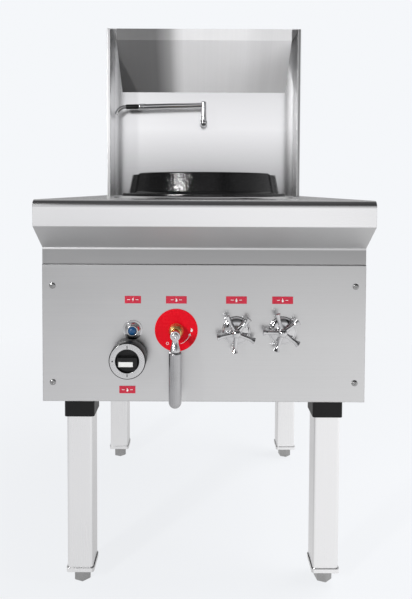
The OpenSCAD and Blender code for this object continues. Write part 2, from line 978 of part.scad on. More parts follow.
// Main gas valve: brass body with a neck through the panel
module main_valve_body() {
    color("goldenrod")
        difference() {
            union() {
                bar_y(-lever_x, control_z, main_valve_d, valve_front, valve_front + valve_len);
                bar_y(-lever_x, control_z, neck_tube_d, panel_front - main_neck_out, valve_front);
            }
            bar_y(-lever_x, control_z, spindle_d + 2 * run_gap, panel_front - main_neck_out - over,
                panel_front + spindle_in + over);
        }
}

// Brass bonnet nut in front of the red plate
module main_valve_bonnet() {
    back = panel_front - dial_t;
    front = back - bonnet_len;
    color("gold")
        difference() {
            union() {
                bar_y(-lever_x, control_z, bonnet_d, front + bonnet_cone_h, back);
                cone_y(-lever_x, control_z, eye_d, bonnet_d, front, front + bonnet_cone_h);
            }
            bar_y(-lever_x, control_z, spindle_d + 2 * run_gap, front - over, back + over);
            bar_y(-lever_x, control_z, neck_tube_d + 2 * run_gap, panel_front - main_neck_out - slip,
                back + over);
        }
}

// Red plate behind the lever
module dial_plate() {
    color("red")
        difference() {
            bar_y(-lever_x, control_z, dial_d, panel_front - dial_t, panel_front);
            bar_y(-lever_x, control_z, neck_hole_d, panel_front - dial_t - over, panel_front + over);
        }
}

// Spindle of the main valve, tapped for the lever bolt
module lever_spindle() {
    front = panel_front - lever_axis_out - eye_t / 2;
    color("goldenrod")
        difference() {
            bar_y(-lever_x, control_z, spindle_d, front, panel_front + spindle_in);
            bar_y(-lever_x, control_z, bolt_d + 2 * run_gap, front - over, front + bolt_len + slip);
        }
}

// Lever arm: eye on the spindle and a flat tang
module lever_arm() {
    eye_front = panel_front - lever_axis_out - eye_t / 2;
    middle = eye_front + eye_t / 2;
    color("silver")
        difference() {
            union() {
                bar_y(-lever_x, control_z, eye_d, eye_front, eye_front + eye_t);
                box_at(-lever_x, tang_w, middle - tang_t / 2, middle + tang_t / 2,
                    control_z - tang_len, control_z);
            }
            bar_y(-lever_x, control_z, spindle_d + 2 * run_gap, eye_front - over, eye_front + eye_t + over);
        }
}

// Round grip of the lever with a ball end
module lever_grip() {
    middle = panel_front - lever_axis_out;
    end_z = control_z - lever_reach + grip_d / 2;
    color("silver") {
        translate([-lever_x, yd(middle), end_z])
            cylinder(d = grip_d, h = control_z - tang_len - end_z);
        translate([-lever_x, yd(middle), end_z])
            sphere(d = grip_d);
    }
}

// Bolt that holds the lever on its spindle
module lever_bolt() {
    seat = panel_front - lever_axis_out - eye_t / 2;
    color("dimgray") {
        bar_y(-lever_x, control_z, bolt_head_d, seat - bolt_head_h, seat);
        bar_y(-lever_x, control_z, bolt_d, seat, seat + bolt_len);
    }
}

// Pilot safety valve block behind the panel
module pilot_valve_body() {
    color("lightgray")
        difference() {
            union() {
                box_at(-knob_x, pilot_valve_w, valve_front, valve_front + pilot_valve_len,
                    knob_z - pilot_valve_h / 2, knob_z + pilot_valve_h / 2);
                bar_y(-knob_x, knob_z, neck_tube_d, panel_back, valve_front);
            }
            bar_y(-knob_x, knob_z, pilot_spindle_d + 2 * run_gap, panel_back - over, panel_back + pilot_bore_len);
        }
}

// Spindle of the pilot valve, which pushes in
module pilot_spindle() {
    front = panel_front - knob_clear - knob_socket;
    color("silver")
        bar_y(-knob_x, knob_z, pilot_spindle_d, front, panel_front + pilot_spindle_in);
}

// Pilot knob: drum with a pocket and a grip bar
module pilot_knob() {
    back = panel_front - knob_clear;
    front = back - knob_depth;
    pocket_d = knob_d - 2 * knob_rim - 2 * knob_ring_w;
    color("black")
        difference() {
            union() {
                difference() {
                    bar_y(-knob_x, knob_z, knob_d, front, back);
                    bar_y(-knob_x, knob_z, pocket_d, front - over, front + knob_pocket_depth);
                }
                box_at(-knob_x, knob_bar_w, front - knob_ring_t, front + knob_pocket_depth,
                    knob_z - knob_bar_h / 2, knob_z + knob_bar_h / 2);
            }
            bar_y(-knob_x, knob_z, pilot_spindle_d + 2 * run_gap, back - knob_socket - slip, back + over);
        }
}

// Dial ring on the face of the pilot knob
module pilot_knob_ring() {
    face = panel_front - knob_clear - knob_depth;
    outer_d = knob_d - 2 * knob_rim;
    color("silver")
        difference() {
            bar_y(-knob_x, knob_z, outer_d, face - knob_ring_t, face);
            bar_y(-knob_x, knob_z, outer_d - 2 * knob_ring_w, face - knob_ring_t - over, face + over);
        }
}

// Igniter: tapered bezel in front of the panel, and barrel behind it
module igniter_body() {
    front_d = button_d + 2 * run_gap + 2 * collar_wall;
    color("silver")
        difference() {
            union() {
                cone_y(-igniter_x, igniter_z, front_d, bezel_d, panel_front - bezel_h, panel_front);
                bar_y(-igniter_x, igniter_z, barrel_d, panel_front, panel_front + barrel_len);
            }
            bar_y(-igniter_x, igniter_z, button_d + 2 * run_gap, panel_front - bezel_h - over,
                panel_front - bezel_h + button_bore_len);
        }
}

// Igniter push button with a domed end
module igniter_button() {
    front = panel_front - bezel_h - button_out;
    color("steelblue") {
        cone_y(-igniter_x, igniter_z, button_d - button_dome_h, button_d, front, front + button_dome_h);
        bar_y(-igniter_x, igniter_z, button_d, front + button_dome_h, front + button_len);
    }
}

// Water pipe from the threaded end behind the cabinet to the two tap valves
module water_pipe() {
    tap_low = control_z - tap_valve_d / 2;
    color("darkgray")
        difference() {
            union() {
                pipe_run([
                    [water_x, yd(top_d + water_out), water_z], [water_x, yd(water_front_d), water_z],
                    [tank_tap_x, yd(water_front_d), water_z], [tank_tap_x, yd(water_front_d), tap_low]
                ], water_d);
                bar_y(water_x, water_z, water_d + 2 * shoulder_w, top_d, top_d + shoulder_t);
                translate([faucet_tap_x, yd(water_front_d), water_z])
                    cylinder(d = water_d, h = tap_low - water_z);
            }
            bar_y(water_x, water_z, water_bore_d, top_d - water_out, top_d + water_out + over);
        }
}

// Tap valve: brass body with a neck through the panel
module tap_valve(x) {
    color("goldenrod")
        difference() {
            union() {
                bar_y(x, control_z, tap_valve_d, valve_front, valve_front + valve_len);
                bar_y(x, control_z, neck_tube_d, panel_front - tap_neck_out, valve_front);
            }
            bar_y(x, control_z, tap_spindle_d + 2 * run_gap, panel_front - tap_neck_out - over,
                panel_front + tap_spindle_in + over);
        }
}

// Tap handle: spindle, hub, domed cap and flared spokes
module tap_handle(x, turn) {
    back = panel_front - tap_neck_out - hub_gap;
    front = back - hub_h;
    middle = back - hub_h / 2;
    waist = spoke_reach * spoke_waist_share;
    root = hub_d * spoke_root_share;
    color("silver") {
        bar_y(x, control_z, tap_spindle_d, back, panel_front + tap_spindle_in);
        bar_y(x, control_z, hub_d, front, back);
        cone_y(x, control_z, cap_d - cap_h, cap_d, front - cap_h, front);
        translate([x, yd(middle), control_z])
            for (i = [0 : spokes - 1])
                rotate([0, turn + 360 * i / spokes, 0]) {
                    translate([0, 0, root])
                        cylinder(d1 = spoke_root_d, d2 = spoke_waist_d, h = waist - root);
                    translate([0, 0, waist])
                        cylinder(d1 = spoke_waist_d, d2 = spoke_tip_d, h = spoke_reach - waist);
                }
    }
}

module tank_tap_valve() {
    tap_valve(tank_tap_x);
}

module faucet_tap_valve() {
    tap_valve(faucet_tap_x);
}

module tank_tap_handle() {
    tap_handle(tank_tap_x, tank_spoke_turn);
}

module faucet_tap_handle() {
    tap_handle(faucet_tap_x, faucet_spoke_turn);
}

// Two domed escutcheons behind the tap handles
module tap_escutcheons() {
    color("silver")
        for (x = [tank_tap_x, faucet_tap_x])
            difference() {
                cone_y(x, control_z, escutcheon_flat, escutcheon_d, panel_front - escutcheon_h, panel_front);
                bar_y(x, control_z, neck_tube_d + 2 * run_gap, panel_front - escutcheon_h - over,
                    panel_front + over);
            }
}

// Water tank let into the back of the deck, open at the top
module water_tank() {
    back_d = tank_front_d + tank_d;
    color("gainsboro")
        difference() {
            union() {
                box_at(0, tank_w, tank_front_d, back_d, top_h - tank_h, top_h + sheet_t);
                box_at(0, tank_w + 2 * tank_rim, tank_front_d - tank_rim, back_d + tank_rim,
                    top_h, top_h + sheet_t);
            }
            box_at(0, tank_w - 2 * tank_wall, tank_front_d + tank_wall, back_d - tank_wall,
                top_h - tank_h + tank_wall, top_h + sheet_t + over);
            bar_y(tank_tap_x, top_h - feed_drop, feed_d + 2 * run_gap,
                tank_front_d - over, tank_front_d + tank_wall + over);
        }
}

// Pipe from the tank tap into the water tank
module tank_feed_pipe() {
    rise_y = yd(tank_front_d - feed_gap);
    outlet_z = top_h - feed_drop;
    color("darkgray")
        pipe_run([
            [tank_tap_x, yd(valve_front + valve_len), control_z], [tank_tap_x, rise_y, control_z],
            [tank_tap_x, rise_y, outlet_z], [tank_tap_x, yd(tank_front_d + feed_in), outlet_z]
        ], feed_d);
}

// Pipe from the faucet tap out of the back and up to the faucet
module faucet_riser_pipe() {
    back_y = yd(top_d + riser_back);
    outlet_z = top_h + faucet_h;
    color("darkgray")
        pipe_run([
            [faucet_tap_x, yd(valve_front + valve_len), control_z], [faucet_tap_x, back_y, control_z],
            [faucet_x, back_y, control_z], [faucet_x, back_y, outlet_z], [faucet_x, yd(top_d), outlet_z]
        ], feed_d);
}

// Elbow of the faucet: wall flange, nipple and ball with a flat seat for the riser
module faucet_elbow() {
    z = top_h + faucet_h;
    ball_d = rear_inner - faucet_out;
    color("silver") {
        bar_y(faucet_x, z, elbow_flange_d, rear_inner - elbow_flange_t, rear_inner);
        bar_y(faucet_x, z, nipple_d, ball_d, top_d);
        translate([faucet_x, yd(ball_d), z])
            sphere(d = elbow_d);
        translate([faucet_x, yd(ball_d), z])
            cylinder(d = riser_d, h = elbow_boss_h);
    }
}

// Moves children to the swing axis at the height of the arm, with the arm's droop
module on_arm() {
    axis_z = top_h + faucet_h + riser_h - riser_over;
    translate([faucet_x, yd(rear_inner - faucet_out), axis_z])
        rotate([0, -90 - arm_droop, 0])
            children();
}

// Swing arm: riser, drooping tube, collar and bent spout
module faucet_arm() {
    foot_z = top_h + faucet_h + elbow_boss_h;
    tube_len = arm_reach - spout_len;
    color("silver") {
        translate([faucet_x, yd(rear_inner - faucet_out), foot_z])
            cylinder(d = riser_d, h = riser_h - elbow_boss_h);
        on_arm() {
            cylinder(d = arm_d, h = tube_len);
            translate([0, 0, tube_len - collar_len])
                cylinder(d = collar_d, h = collar_len);
            translate([0, 0, tube_len])
                cylinder(d = spout_d, h = spout_len);
            translate([-spout_bend_r, 0, arm_reach])
                rotate([90, 0, 0])
                    rotate_extrude(angle = spout_bend_a)
                        translate([spout_bend_r, 0])
                            circle(d = spout_d);
        }
    }
}

// Black grip sleeve on the spout
module arm_grip() {
    color("black")
        on_arm()
            translate([0, 0, arm_reach - spout_len + sleeve_end_gap])
                difference() {
                    cylinder(d = sleeve_d, h = sleeve_len);
                    translate([0, 0, -over])
                        cylinder(d = spout_d + 2 * run_gap, h = sleeve_len + 2 * over);
                }
}

deck();
side_panel_left();
side_panel_right();
rear_panel();
control_panel();
panel_screws();
label_plates();
base_frame();
leg_front_left();
leg_front_right();
leg_rear_left();
leg_rear_right();
foot_front_left();
foot_front_right();
foot_rear_left();
foot_rear_right();
splash_back();
splash_wing_left();
splash_wing_right();
flue_hood();
flue_duct();
flue_box();
wok_ring();
well_rim();
burner_chamber();
firebrick_lining();
jet_burner();
burner_jets();
burner_cradle();
pilot_burner();
pilot_tube();
thermocouple();
spark_electrode();
gas_pipe();
burner_supply_pipe();
main_valve_body();
main_valve_bonnet();
dial_plate();
lever_spindle();
lever_arm();
lever_grip();
lever_bolt();
pilot_valve_body();
pilot_spindle();
pilot_knob();
pilot_knob_ring();
igniter_body();
igniter_button();
water_pipe();
tank_tap_valve();
tank_tap_handle();
faucet_tap_valve();
faucet_tap_handle();
tap_escutcheons();
water_tank();
tank_feed_pipe();
faucet_riser_pipe();
faucet_elbow();
faucet_arm();
arm_grip();
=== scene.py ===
"""Looks of a free-standing gas wok range: finishes, turned and swept pieces, and a studio stage."""

import json
import math

import bmesh
import bpy
import numpy as np
from mathutils import Matrix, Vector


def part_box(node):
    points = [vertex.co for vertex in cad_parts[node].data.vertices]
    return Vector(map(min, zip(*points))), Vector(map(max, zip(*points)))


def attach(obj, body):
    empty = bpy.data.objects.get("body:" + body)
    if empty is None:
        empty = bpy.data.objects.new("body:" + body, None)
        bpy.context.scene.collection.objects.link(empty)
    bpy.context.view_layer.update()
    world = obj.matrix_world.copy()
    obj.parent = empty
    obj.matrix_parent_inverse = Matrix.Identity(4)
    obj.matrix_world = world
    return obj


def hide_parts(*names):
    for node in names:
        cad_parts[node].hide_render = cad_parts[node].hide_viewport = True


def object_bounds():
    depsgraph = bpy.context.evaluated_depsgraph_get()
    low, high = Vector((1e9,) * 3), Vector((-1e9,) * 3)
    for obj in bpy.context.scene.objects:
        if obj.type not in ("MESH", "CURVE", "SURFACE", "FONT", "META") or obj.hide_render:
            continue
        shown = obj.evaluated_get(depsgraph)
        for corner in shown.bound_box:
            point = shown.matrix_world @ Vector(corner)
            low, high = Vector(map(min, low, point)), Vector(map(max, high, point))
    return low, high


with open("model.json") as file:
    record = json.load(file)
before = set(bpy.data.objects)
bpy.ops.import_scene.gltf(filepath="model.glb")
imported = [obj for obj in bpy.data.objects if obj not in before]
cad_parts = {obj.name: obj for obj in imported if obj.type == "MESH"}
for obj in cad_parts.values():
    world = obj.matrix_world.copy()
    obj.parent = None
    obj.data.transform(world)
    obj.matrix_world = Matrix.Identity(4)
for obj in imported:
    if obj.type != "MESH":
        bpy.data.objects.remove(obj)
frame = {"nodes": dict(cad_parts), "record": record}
CAD_BOX = [list(corner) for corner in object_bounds()]

bl_info = {
    "name": "Wok range looks",
    "version": (1, 0, 0),
    "blender": (4, 5, 0),
    "location": "3D View > Sidebar > Wok Range",
    "description": "Finishes, detail pieces and a studio stage for a gas wok range",
    "category": "Object",
}

MM = 0.001
TURN = 2.0 * math.pi
MERGE_WITHIN = 1e-6
THIN_WITHIN = 1e-7
SMOOTH_DEG = 35.0
CORNER_SHARE = 2.05


def middle(node):
    """Centre of a node's box, in metres."""
    low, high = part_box(node)
    return np.array((low + high) / 2)


def length_prop(label, text, size_mm):
    """Length property whose default is given in millimetres."""
    return bpy.props.FloatProperty(
        name=label, description=text, default=size_mm * MM, unit="LENGTH", precision=4)


def colour_prop(label, text, rgb):
    """Colour property in linear light."""
    return bpy.props.FloatVectorProperty(
        name=label, description=text, default=rgb, subtype="COLOR", size=3, min=0.0, max=1.0)


class RangeSizes(bpy.types.PropertyGroup):
    """Sizes of the detail pieces."""

    edge_round: length_prop("Edge rounding", "Rounding of turned edges", 1.2)
    casting_round: length_prop("Casting rounding", "Rounding of the cast ring's edges", 3.5)
    notch_depth: length_prop("Vent notch", "Depth of the vent notches in the ring", 4.5)
    ring_body: length_prop("Ring body", "Outer radius of the ring above its flange", 199.0)
    ring_top: length_prop("Ring top", "Outer radius of the ring at its top", 189.0)
    ring_seat: length_prop("Ring seat", "Inner radius of the ring", 167.0)
    ring_flange: length_prop("Ring flange", "Thickness of the ring's flange", 7.0)
    rim_hole: length_prop("Rim hole", "Inner radius of the raised rim", 188.0)
    spoke_reach: length_prop("Spoke reach", "Reach of a tap spoke from its axis", 42.4)
    spoke_waist: length_prop("Spoke waist", "Radius of a tap spoke at its waist", 4.0)
    spoke_end: length_prop("Spoke end", "Radius of a tap spoke at its flared end", 7.2)
    arm_tube: length_prop("Arm tube", "Radius of the swing arm's tube", 8.0)
    spout_tube: length_prop("Spout tube", "Radius of the spout", 6.0)
    mark_height: length_prop("Mark height", "Height of printed marks over their plate", 0.15)


class RangeColours(bpy.types.PropertyGroup):
    """Colours of the finishes."""

    steel: colour_prop("Stainless", "Brushed stainless sheet", (0.95, 0.95, 0.955))
    bare: colour_prop("Bare steel", "Turned bare steel", (0.70, 0.70, 0.71))
    grip: colour_prop("Lever grip", "Drawn steel of the lever's grip", (0.47, 0.47, 0.48))
    screw: colour_prop("Screw steel", "Dull screw heads", (0.38, 0.38, 0.38))
    chrome: colour_prop("Chrome", "Polished chrome plate", (0.64, 0.64, 0.65))
    iron: colour_prop("Cast iron", "Black cast iron", (0.005, 0.005, 0.0053))
    enamel: colour_prop("Black enamel", "Black paint of the frame", (0.007, 0.007, 0.0075))
    dark_steel: colour_prop("Dark steel", "Heat-darkened steel", (0.10, 0.10, 0.105))
    brick: colour_prop("Firebrick", "Refractory brick", (0.60, 0.44, 0.28))
    brass: colour_prop("Brass", "Machined brass", (0.78, 0.56, 0.22))
    copper: colour_prop("Copper", "Copper tube", (0.70, 0.34, 0.20))
    zinc: colour_prop("Zinc", "Galvanised pipe", (0.50, 0.51, 0.52))
    red: colour_prop("Red enamel", "Red plates", (0.80, 0.004, 0.016))
    label_red: colour_prop("Label red", "Red label plates", (0.58, 0.013, 0.045))
    plastic: colour_prop("Black plastic", "Knob and grip", (0.009, 0.009, 0.0095))
    blue: colour_prop("Blue plastic", "Igniter button", (0.012, 0.08, 0.21))
    white: colour_prop("White print", "Printed marks and blank plate", (0.82, 0.82, 0.80))
    backdrop: colour_prop("Backdrop", "Pale studio background", (0.913, 0.930, 0.955))


def sizes():
    """Sizes that are set in the sidebar."""
    return bpy.context.scene.range_sizes


def colours():
    """Colours that are set in the sidebar."""
    return bpy.context.scene.range_colours


def build_mesh(name, verts, faces, smooth_deg=SMOOTH_DEG):
    """Mesh object from vertex and face arrays: doubles merged, faces turned outwards, smooth by angle."""
    mesh = bpy.data.meshes.new(name)
    mesh.from_pydata(np.asarray(verts, float).reshape(-1, 3).tolist(), [], faces)
    work = bmesh.new()
    work.from_mesh(mesh)
    bmesh.ops.remove_doubles(work, verts=work.verts, dist=MERGE_WITHIN)
    bmesh.ops.dissolve_degenerate(work, edges=work.edges, dist=THIN_WITHIN)
    bmesh.ops.recalc_face_normals(work, faces=work.faces)
    work.to_mesh(mesh)
    work.free()
    mesh.shade_smooth()
    mesh.set_sharp_from_angle(angle=math.radians(smooth_deg))
    piece = bpy.data.objects.new(name, mesh)
    bpy.context.scene.collection.objects.link(piece)
    return piece


def grid_faces(rows, columns, start=0, close_rows=False):
    """Quads of a grid whose columns wrap around, and whose rows wrap too if asked."""
    row = np.arange(rows if close_rows else rows - 1)[:, None]
    column = np.arange(columns)[None, :]
    row_up = (row + 1) % rows
    column_up = (column + 1) % columns
    corners = np.stack(np.broadcast_arrays(
        row * columns + column, row * columns + column_up,
        row_up * columns + column_up, row_up * columns + column), axis=-1)
    return (corners.reshape(-1, 4) + start).tolist()


class Shells:
    """Collects closed grids and flat plates into one mesh."""

    def __init__(self):
        """Starts with no vertex and no face."""
        self.verts = []
        self.faces = []
        self.count = 0

    def grid(self, points, close_rows=False):
        """Adds a grid of points whose columns wrap around."""
        rows, columns = points.shape[:2]
        self.faces += grid_faces(rows, columns, self.count, close_rows)
        self.verts.append(points.reshape(-1, 3))
        self.count += rows * columns
        return self

    def plate(self, outline, origin, low, high):
        """Prism of an outline in X and Z, from depth low (front) to depth high."""
        outline = np.asarray(outline, float)
        n = len(outline)
        ends = []
        for depth in (low, high):
            flat = np.stack([outline[:, 0], np.full(n, depth), outline[:, 1]], axis=1)
            ends.append(flat + np.array([origin[0], 0.0, origin[1]]))
        ring = np.arange(n)
        sides = np.stack([ring, (ring + 1) % n, (ring + 1) % n + n, ring + n], axis=1) + self.count
        self.faces += sides.tolist()
        self.faces += [(ring + self.count).tolist(), (ring[::-1] + self.count + n).tolist()]
        self.verts.append(np.concatenate(ends))
        self.count += 2 * n
        return self

    def piece(self, name, smooth_deg=SMOOTH_DEG):
        """Makes one mesh object of everything added."""
        return build_mesh(name, np.concatenate(self.verts), self.faces, smooth_deg)


def around(steps):
    """Angles of a full turn, without the last, as a row."""
    return np.linspace(0.0, TURN, steps, endpoint=False)[None, :]


def box_outline(left, right, low, high):
    """Four corners of an upright rectangle."""
    return np.array([(left, low), (right, low), (right, high), (left, high)])


def fillet(points, radius, steps=5, closed=False):
    """Outline whose corners are replaced by quadratic curves that start a radius before each corner.

    A curve takes at most a little less than half of the edges beside its corner.
    """
    points = np.asarray(points, float)
    radius = np.broadcast_to(np.asarray(radius, float), (len(points),))
    before = np.roll(points, 1, axis=0) - points
    after = np.roll(points, -1, axis=0) - points
    reach_before = np.linalg.norm(before, axis=1) / CORNER_SHARE
    reach_after = np.linalg.norm(after, axis=1) / CORNER_SHARE
    cut = np.minimum(radius, np.minimum(reach_before, reach_after))
    start = points + before / (CORNER_SHARE * reach_before[:, None]) * cut[:, None]
    end = points + after / (CORNER_SHARE * reach_after[:, None]) * cut[:, None]
    t = np.linspace(0.0, 1.0, steps)[None, :, None]
    curve = start[:, None] * (1 - t) ** 2 + 2 * points[:, None] * t * (1 - t) + end[:, None] * t ** 2
    if not closed:
        curve[0] = points[0]
        curve[-1] = points[-1]
    return curve.reshape(-1, 2)


def turned(profile, centre, axis, steps):
    """Profile of radius and height carried around Z, or around -Y with its height towards the cook."""
    profile = np.asarray(profile, float)
    angle = around(steps)
    radius = profile[:, :1]
    height = np.broadcast_to(profile[:, 1:2], (len(profile), steps))
    across = radius * np.cos(angle)
    along = radius * np.sin(angle)
    if axis == "z":
        points = np.stack([across, along, height], axis=-1)
    else:
        points = np.stack([across, -height, along], axis=-1)
    return points + np.asarray(centre, float)


def dome(radius, height, rise, steps=9):
    """Profile of a shallow dome from its edge to its pole."""
    t = np.linspace(0.0, math.pi / 2, steps)
    return np.stack([radius * np.cos(t), height + rise * np.sin(t)], axis=1)


def smooth_step(t):
    """Smooth ramp from 0 to 1."""
    t = np.clip(t, 0.0, 1.0)
    return t * t * (3 - 2 * t)


def node_material(name):
    """Material of a look, made on its first use."""
    name = "look_" + name
    material = bpy.data.materials.get(name)
    if material:
        return material, None, None
    material = bpy.data.materials.new(name)
    material.use_nodes = True
    return material, material.node_tree.nodes, material.node_tree.links


GRAIN_ROUGH = 0.6
GRAIN_DETAIL = 4.0
BLOTCH_DETAIL = 3.0
FINE_SHARE = 0.5
EDGE_SAMPLES = 4
# Sockets of a Mix node for colours.
MIX_SHARE = 0
MIX_FIRST = 6
MIX_SECOND = 7
MIX_RESULT = 2


def grain(nodes, links, scale, detail=GRAIN_DETAIL):
    """Noise on Object coordinates, stretched by a scale along each axis."""
    place = nodes.new("ShaderNodeTexCoord")
    mapping = nodes.new("ShaderNodeMapping")
    mapping.inputs["Scale"].default_value = scale
    noise = nodes.new("ShaderNodeTexNoise")
    noise.inputs["Scale"].default_value = 1.0
    noise.inputs["Detail"].default_value = detail
    noise.inputs["Roughness"].default_value = GRAIN_ROUGH
    links.new(place.outputs["Object"], mapping.inputs["Vector"])
    links.new(mapping.outputs["Vector"], noise.inputs["Vector"])
    return noise.outputs["Fac"]


def places(nodes, links, system="Object"):
    """X, Y and Z of the coordinates, as separate values."""
    place = nodes.new("ShaderNodeTexCoord")
    split = nodes.new("ShaderNodeSeparateXYZ")
    links.new(place.outputs[system], split.inputs[0])
    return split.outputs


def joined(nodes, links, operation, first, second):
    """Result of a Math node for two linked values."""
    node = nodes.new("ShaderNodeMath")
    node.operation = operation
    links.new(first, node.inputs[0])
    links.new(second, node.inputs[1])
    return node.outputs[0]


def times(nodes, links, first, second):
    """Product of two colours, channel by channel."""
    node = nodes.new("ShaderNodeVectorMath")
    node.operation = "MULTIPLY"
    links.new(first, node.inputs[0])
    links.new(second, node.inputs[1])
    return node.outputs[0]


def ramped(nodes, links, value, low, high, from_low=0.3, from_high=0.7):
    """Maps a noise value to a range."""
    node = nodes.new("ShaderNodeMapRange")
    node.inputs["From Min"].default_value = from_low
    node.inputs["From Max"].default_value = from_high
    node.inputs["To Min"].default_value = low
    node.inputs["To Max"].default_value = high
    links.new(value, node.inputs["Value"])
    return node.outputs["Result"]


def tinted(nodes, links, value, dark, light):
    """Colour between two tones by a noise value."""
    mix = nodes.new("ShaderNodeMix")
    mix.data_type = "RGBA"
    mix.inputs[MIX_FIRST].default_value = (*dark, 1.0)
    mix.inputs[MIX_SECOND].default_value = (*light, 1.0)
    links.new(value, mix.inputs[MIX_SHARE])
    return mix.outputs[MIX_RESULT]


def tone_ramp(nodes, links, value, low, high, ends, stops, blue=1.0):
    """Tones by a value between low and high: two end colours, and stops as pairs of share and tone."""
    ramp = nodes.new("ShaderNodeValToRGB")
    elements = ramp.color_ramp.elements
    elements[0].color = (*ends[0], 1.0)
    elements[1].color = (*ends[1], 1.0)
    for share, tone in stops:
        elements.new(share).color = (tone, tone, tone * blue, 1.0)
    links.new(ramped(nodes, links, value, 0.0, 1.0, low, high), ramp.inputs[0])
    return ramp.outputs["Color"]


def toned(nodes, links, tint, tones, axis):
    """Colour times a tone that follows one axis of the object, given as pairs of place and tone."""
    low = tones[0][0]
    high = tones[-1][0]
    ends = [(tone, tone, tone) for where, tone in (tones[0], tones[-1])]
    stops = [((where - low) / (high - low), tone) for where, tone in tones[1:-1]]
    level = tone_ramp(nodes, links, places(nodes, links)[axis], low, high, ends, stops)
    return times(nodes, links, tint, level)


def finish(name, colour, metallic, rough, stretch, blotch, shade, bump, bump_mm=0.1, specular=0.5,
           edge_mm=0.0, tones=(), rough_tones=(), detail=GRAIN_DETAIL):
    """Finish with a stretched fine grain, large soft blotches, varied roughness, a fine bump and soft edges.

    The colour and the roughness are also multiplied by tones that follow axes of the object.
    """
    material, nodes, links = node_material(name)
    if nodes is None:
        return material
    shader = nodes["Principled BSDF"]
    fine = grain(nodes, links, stretch, detail)
    wide = grain(nodes, links, (blotch, blotch, blotch), BLOTCH_DETAIL)
    blend = nodes.new("ShaderNodeMath")
    blend.operation = "MULTIPLY_ADD"
    blend.inputs[1].default_value = FINE_SHARE
    half = nodes.new("ShaderNodeMath")
    half.operation = "MULTIPLY"
    half.inputs[1].default_value = 1.0 - FINE_SHARE
    links.new(wide, half.inputs[0])
    links.new(fine, blend.inputs[0])
    links.new(half.outputs[0], blend.inputs[2])
    colour = np.array(colour)
    tone = ramped(nodes, links, blend.outputs[0], 0.0, 1.0)
    tint = tinted(nodes, links, tone, colour * (1 - shade), np.minimum(colour * (1 + shade), 1.0))
    for axis, pairs in tones:
        tint = toned(nodes, links, tint, pairs, axis)
    links.new(tint, shader.inputs["Base Color"])
    roughness = ramped(nodes, links, blend.outputs[0], rough[0], rough[1])
    for axis, pairs in rough_tones:
        roughness = toned(nodes, links, roughness, pairs, axis)
    links.new(roughness, shader.inputs["Roughness"])
    shader.inputs["Metallic"].default_value = metallic
    shader.inputs["Specular IOR Level"].default_value = specular
    relief = nodes.new("ShaderNodeBump")
    relief.inputs["Strength"].default_value = bump
    relief.inputs["Distance"].default_value = bump_mm * MM
    links.new(fine, relief.inputs["Height"])
    if edge_mm > 0.0:
        edge = nodes.new("ShaderNodeBevel")
        edge.samples = EDGE_SAMPLES
        edge.inputs["Radius"].default_value = edge_mm * MM
        links.new(edge.outputs["Normal"], relief.inputs["Normal"])
    links.new(relief.outputs["Normal"], shader.inputs["Normal"])
    return material


BRUSH_ALONG = 3.0
BRUSH_ACROSS = 900.0
BRUSH_BLOTCH = 3.0

# Stainless sheets: the axis of the brushing, what differs from the usual one, and tones along axes.
# The tones paint shade, highlights and reflections onto the sheets.
BRUSHED = {
    # Plain sheets and side panels: painted shade, the whole sheet dimmed and darker towards the top.
    "stainless_across": {"along": "X", "tones": (("Z", ((0.40, 0.74), (1.42, 0.66))),)},
    "stainless_deep": {"along": "Y", "tones": (("Z", ((0.40, 0.74), (0.88, 0.60))),)},
    # Deck: painted shade on the slanted underside and on the strip below it; a painted highlight on the
    # fold.
    "stainless_deck": {
        "along": "X", "rough": (0.46, 0.69), "shade": 0.03, "bump": 0.05,
        # Painted reflection: a dark band on the rounded top of the nose, from 0.8475 to 0.8583.
        "tones": (("Z", ((0.72, 0.44), (0.7515, 0.40), (0.752, 0.74), (0.7555, 0.74), (0.756, 0.58),
                         (0.805, 0.62), (0.807, 1.0), (0.844, 1.0), (0.8475, 0.60), (0.8515, 0.45),
                         (0.8583, 0.50), (0.8594, 1.0), (0.86, 1.0))),),
        "rough_tones": (("Z", ((0.72, 0.6), (0.7515, 0.6), (0.7555, 1.0), (0.805, 1.0), (0.807, 0.44),
                               (0.86, 0.44))),),
    },
    # Control panel: soft folded edges, and painted shade that darkens it towards the top, under the deck's
    # nose.
    "stainless_panel": {
        "along": "X", "rough": (0.26, 0.38), "shade": 0.04, "bump": 0.07, "edge_mm": 3.0,
        "tones": (("Z", ((0.42, 0.75), (0.55, 0.72), (0.72, 0.60))),),
    },
    # Splash back: painted shade, darker towards the deck.
    "stainless_back": {
        "along": "X", "rough": (0.15, 0.22), "shade": 0.03, "bump": 0.05,
        "tones": (("Z", ((0.86, 0.33), (0.95, 0.58), (1.10, 1.0), (1.40, 1.0))),),
    },
    # Left wing: painted shade, darker near the deck, and a painted grey band of shade on the hem.
    "stainless_wing_left": {
        "along": "Z",
        "tones": (("Z", ((0.86, 0.75), (1.05, 1.0), (1.42, 1.0))),
                  ("X", ((-0.322, 1.0), (-0.3206, 1.0), (-0.32, 0.64), (-0.306, 0.64), (-0.302, 1.0),
                         (-0.2935, 1.0)))),
    },
    # Right wing: painted shade, darker all over, and a painted dark band of shade on the hem.
    "stainless_wing_right": {
        "along": "Z",
        "tones": (("Z", ((0.86, 0.62), (1.14, 0.75), (1.42, 0.75))),
                  ("X", ((0.2935, 1.0), (0.3145, 1.0), (0.3155, 0.45), (0.32, 0.45), (0.3206, 1.0),
                         (0.322, 1.0)))),
    },
    # Legs: painted shade on the faces that look inwards.
    "stainless_upright": {
        "along": "Z", "shade": 0.02, "bump": 0.03,
        "tones": (("X", ((-0.248, 1.0), (-0.2455, 0.74), (0.2455, 0.74), (0.248, 1.0))),),
    },
}

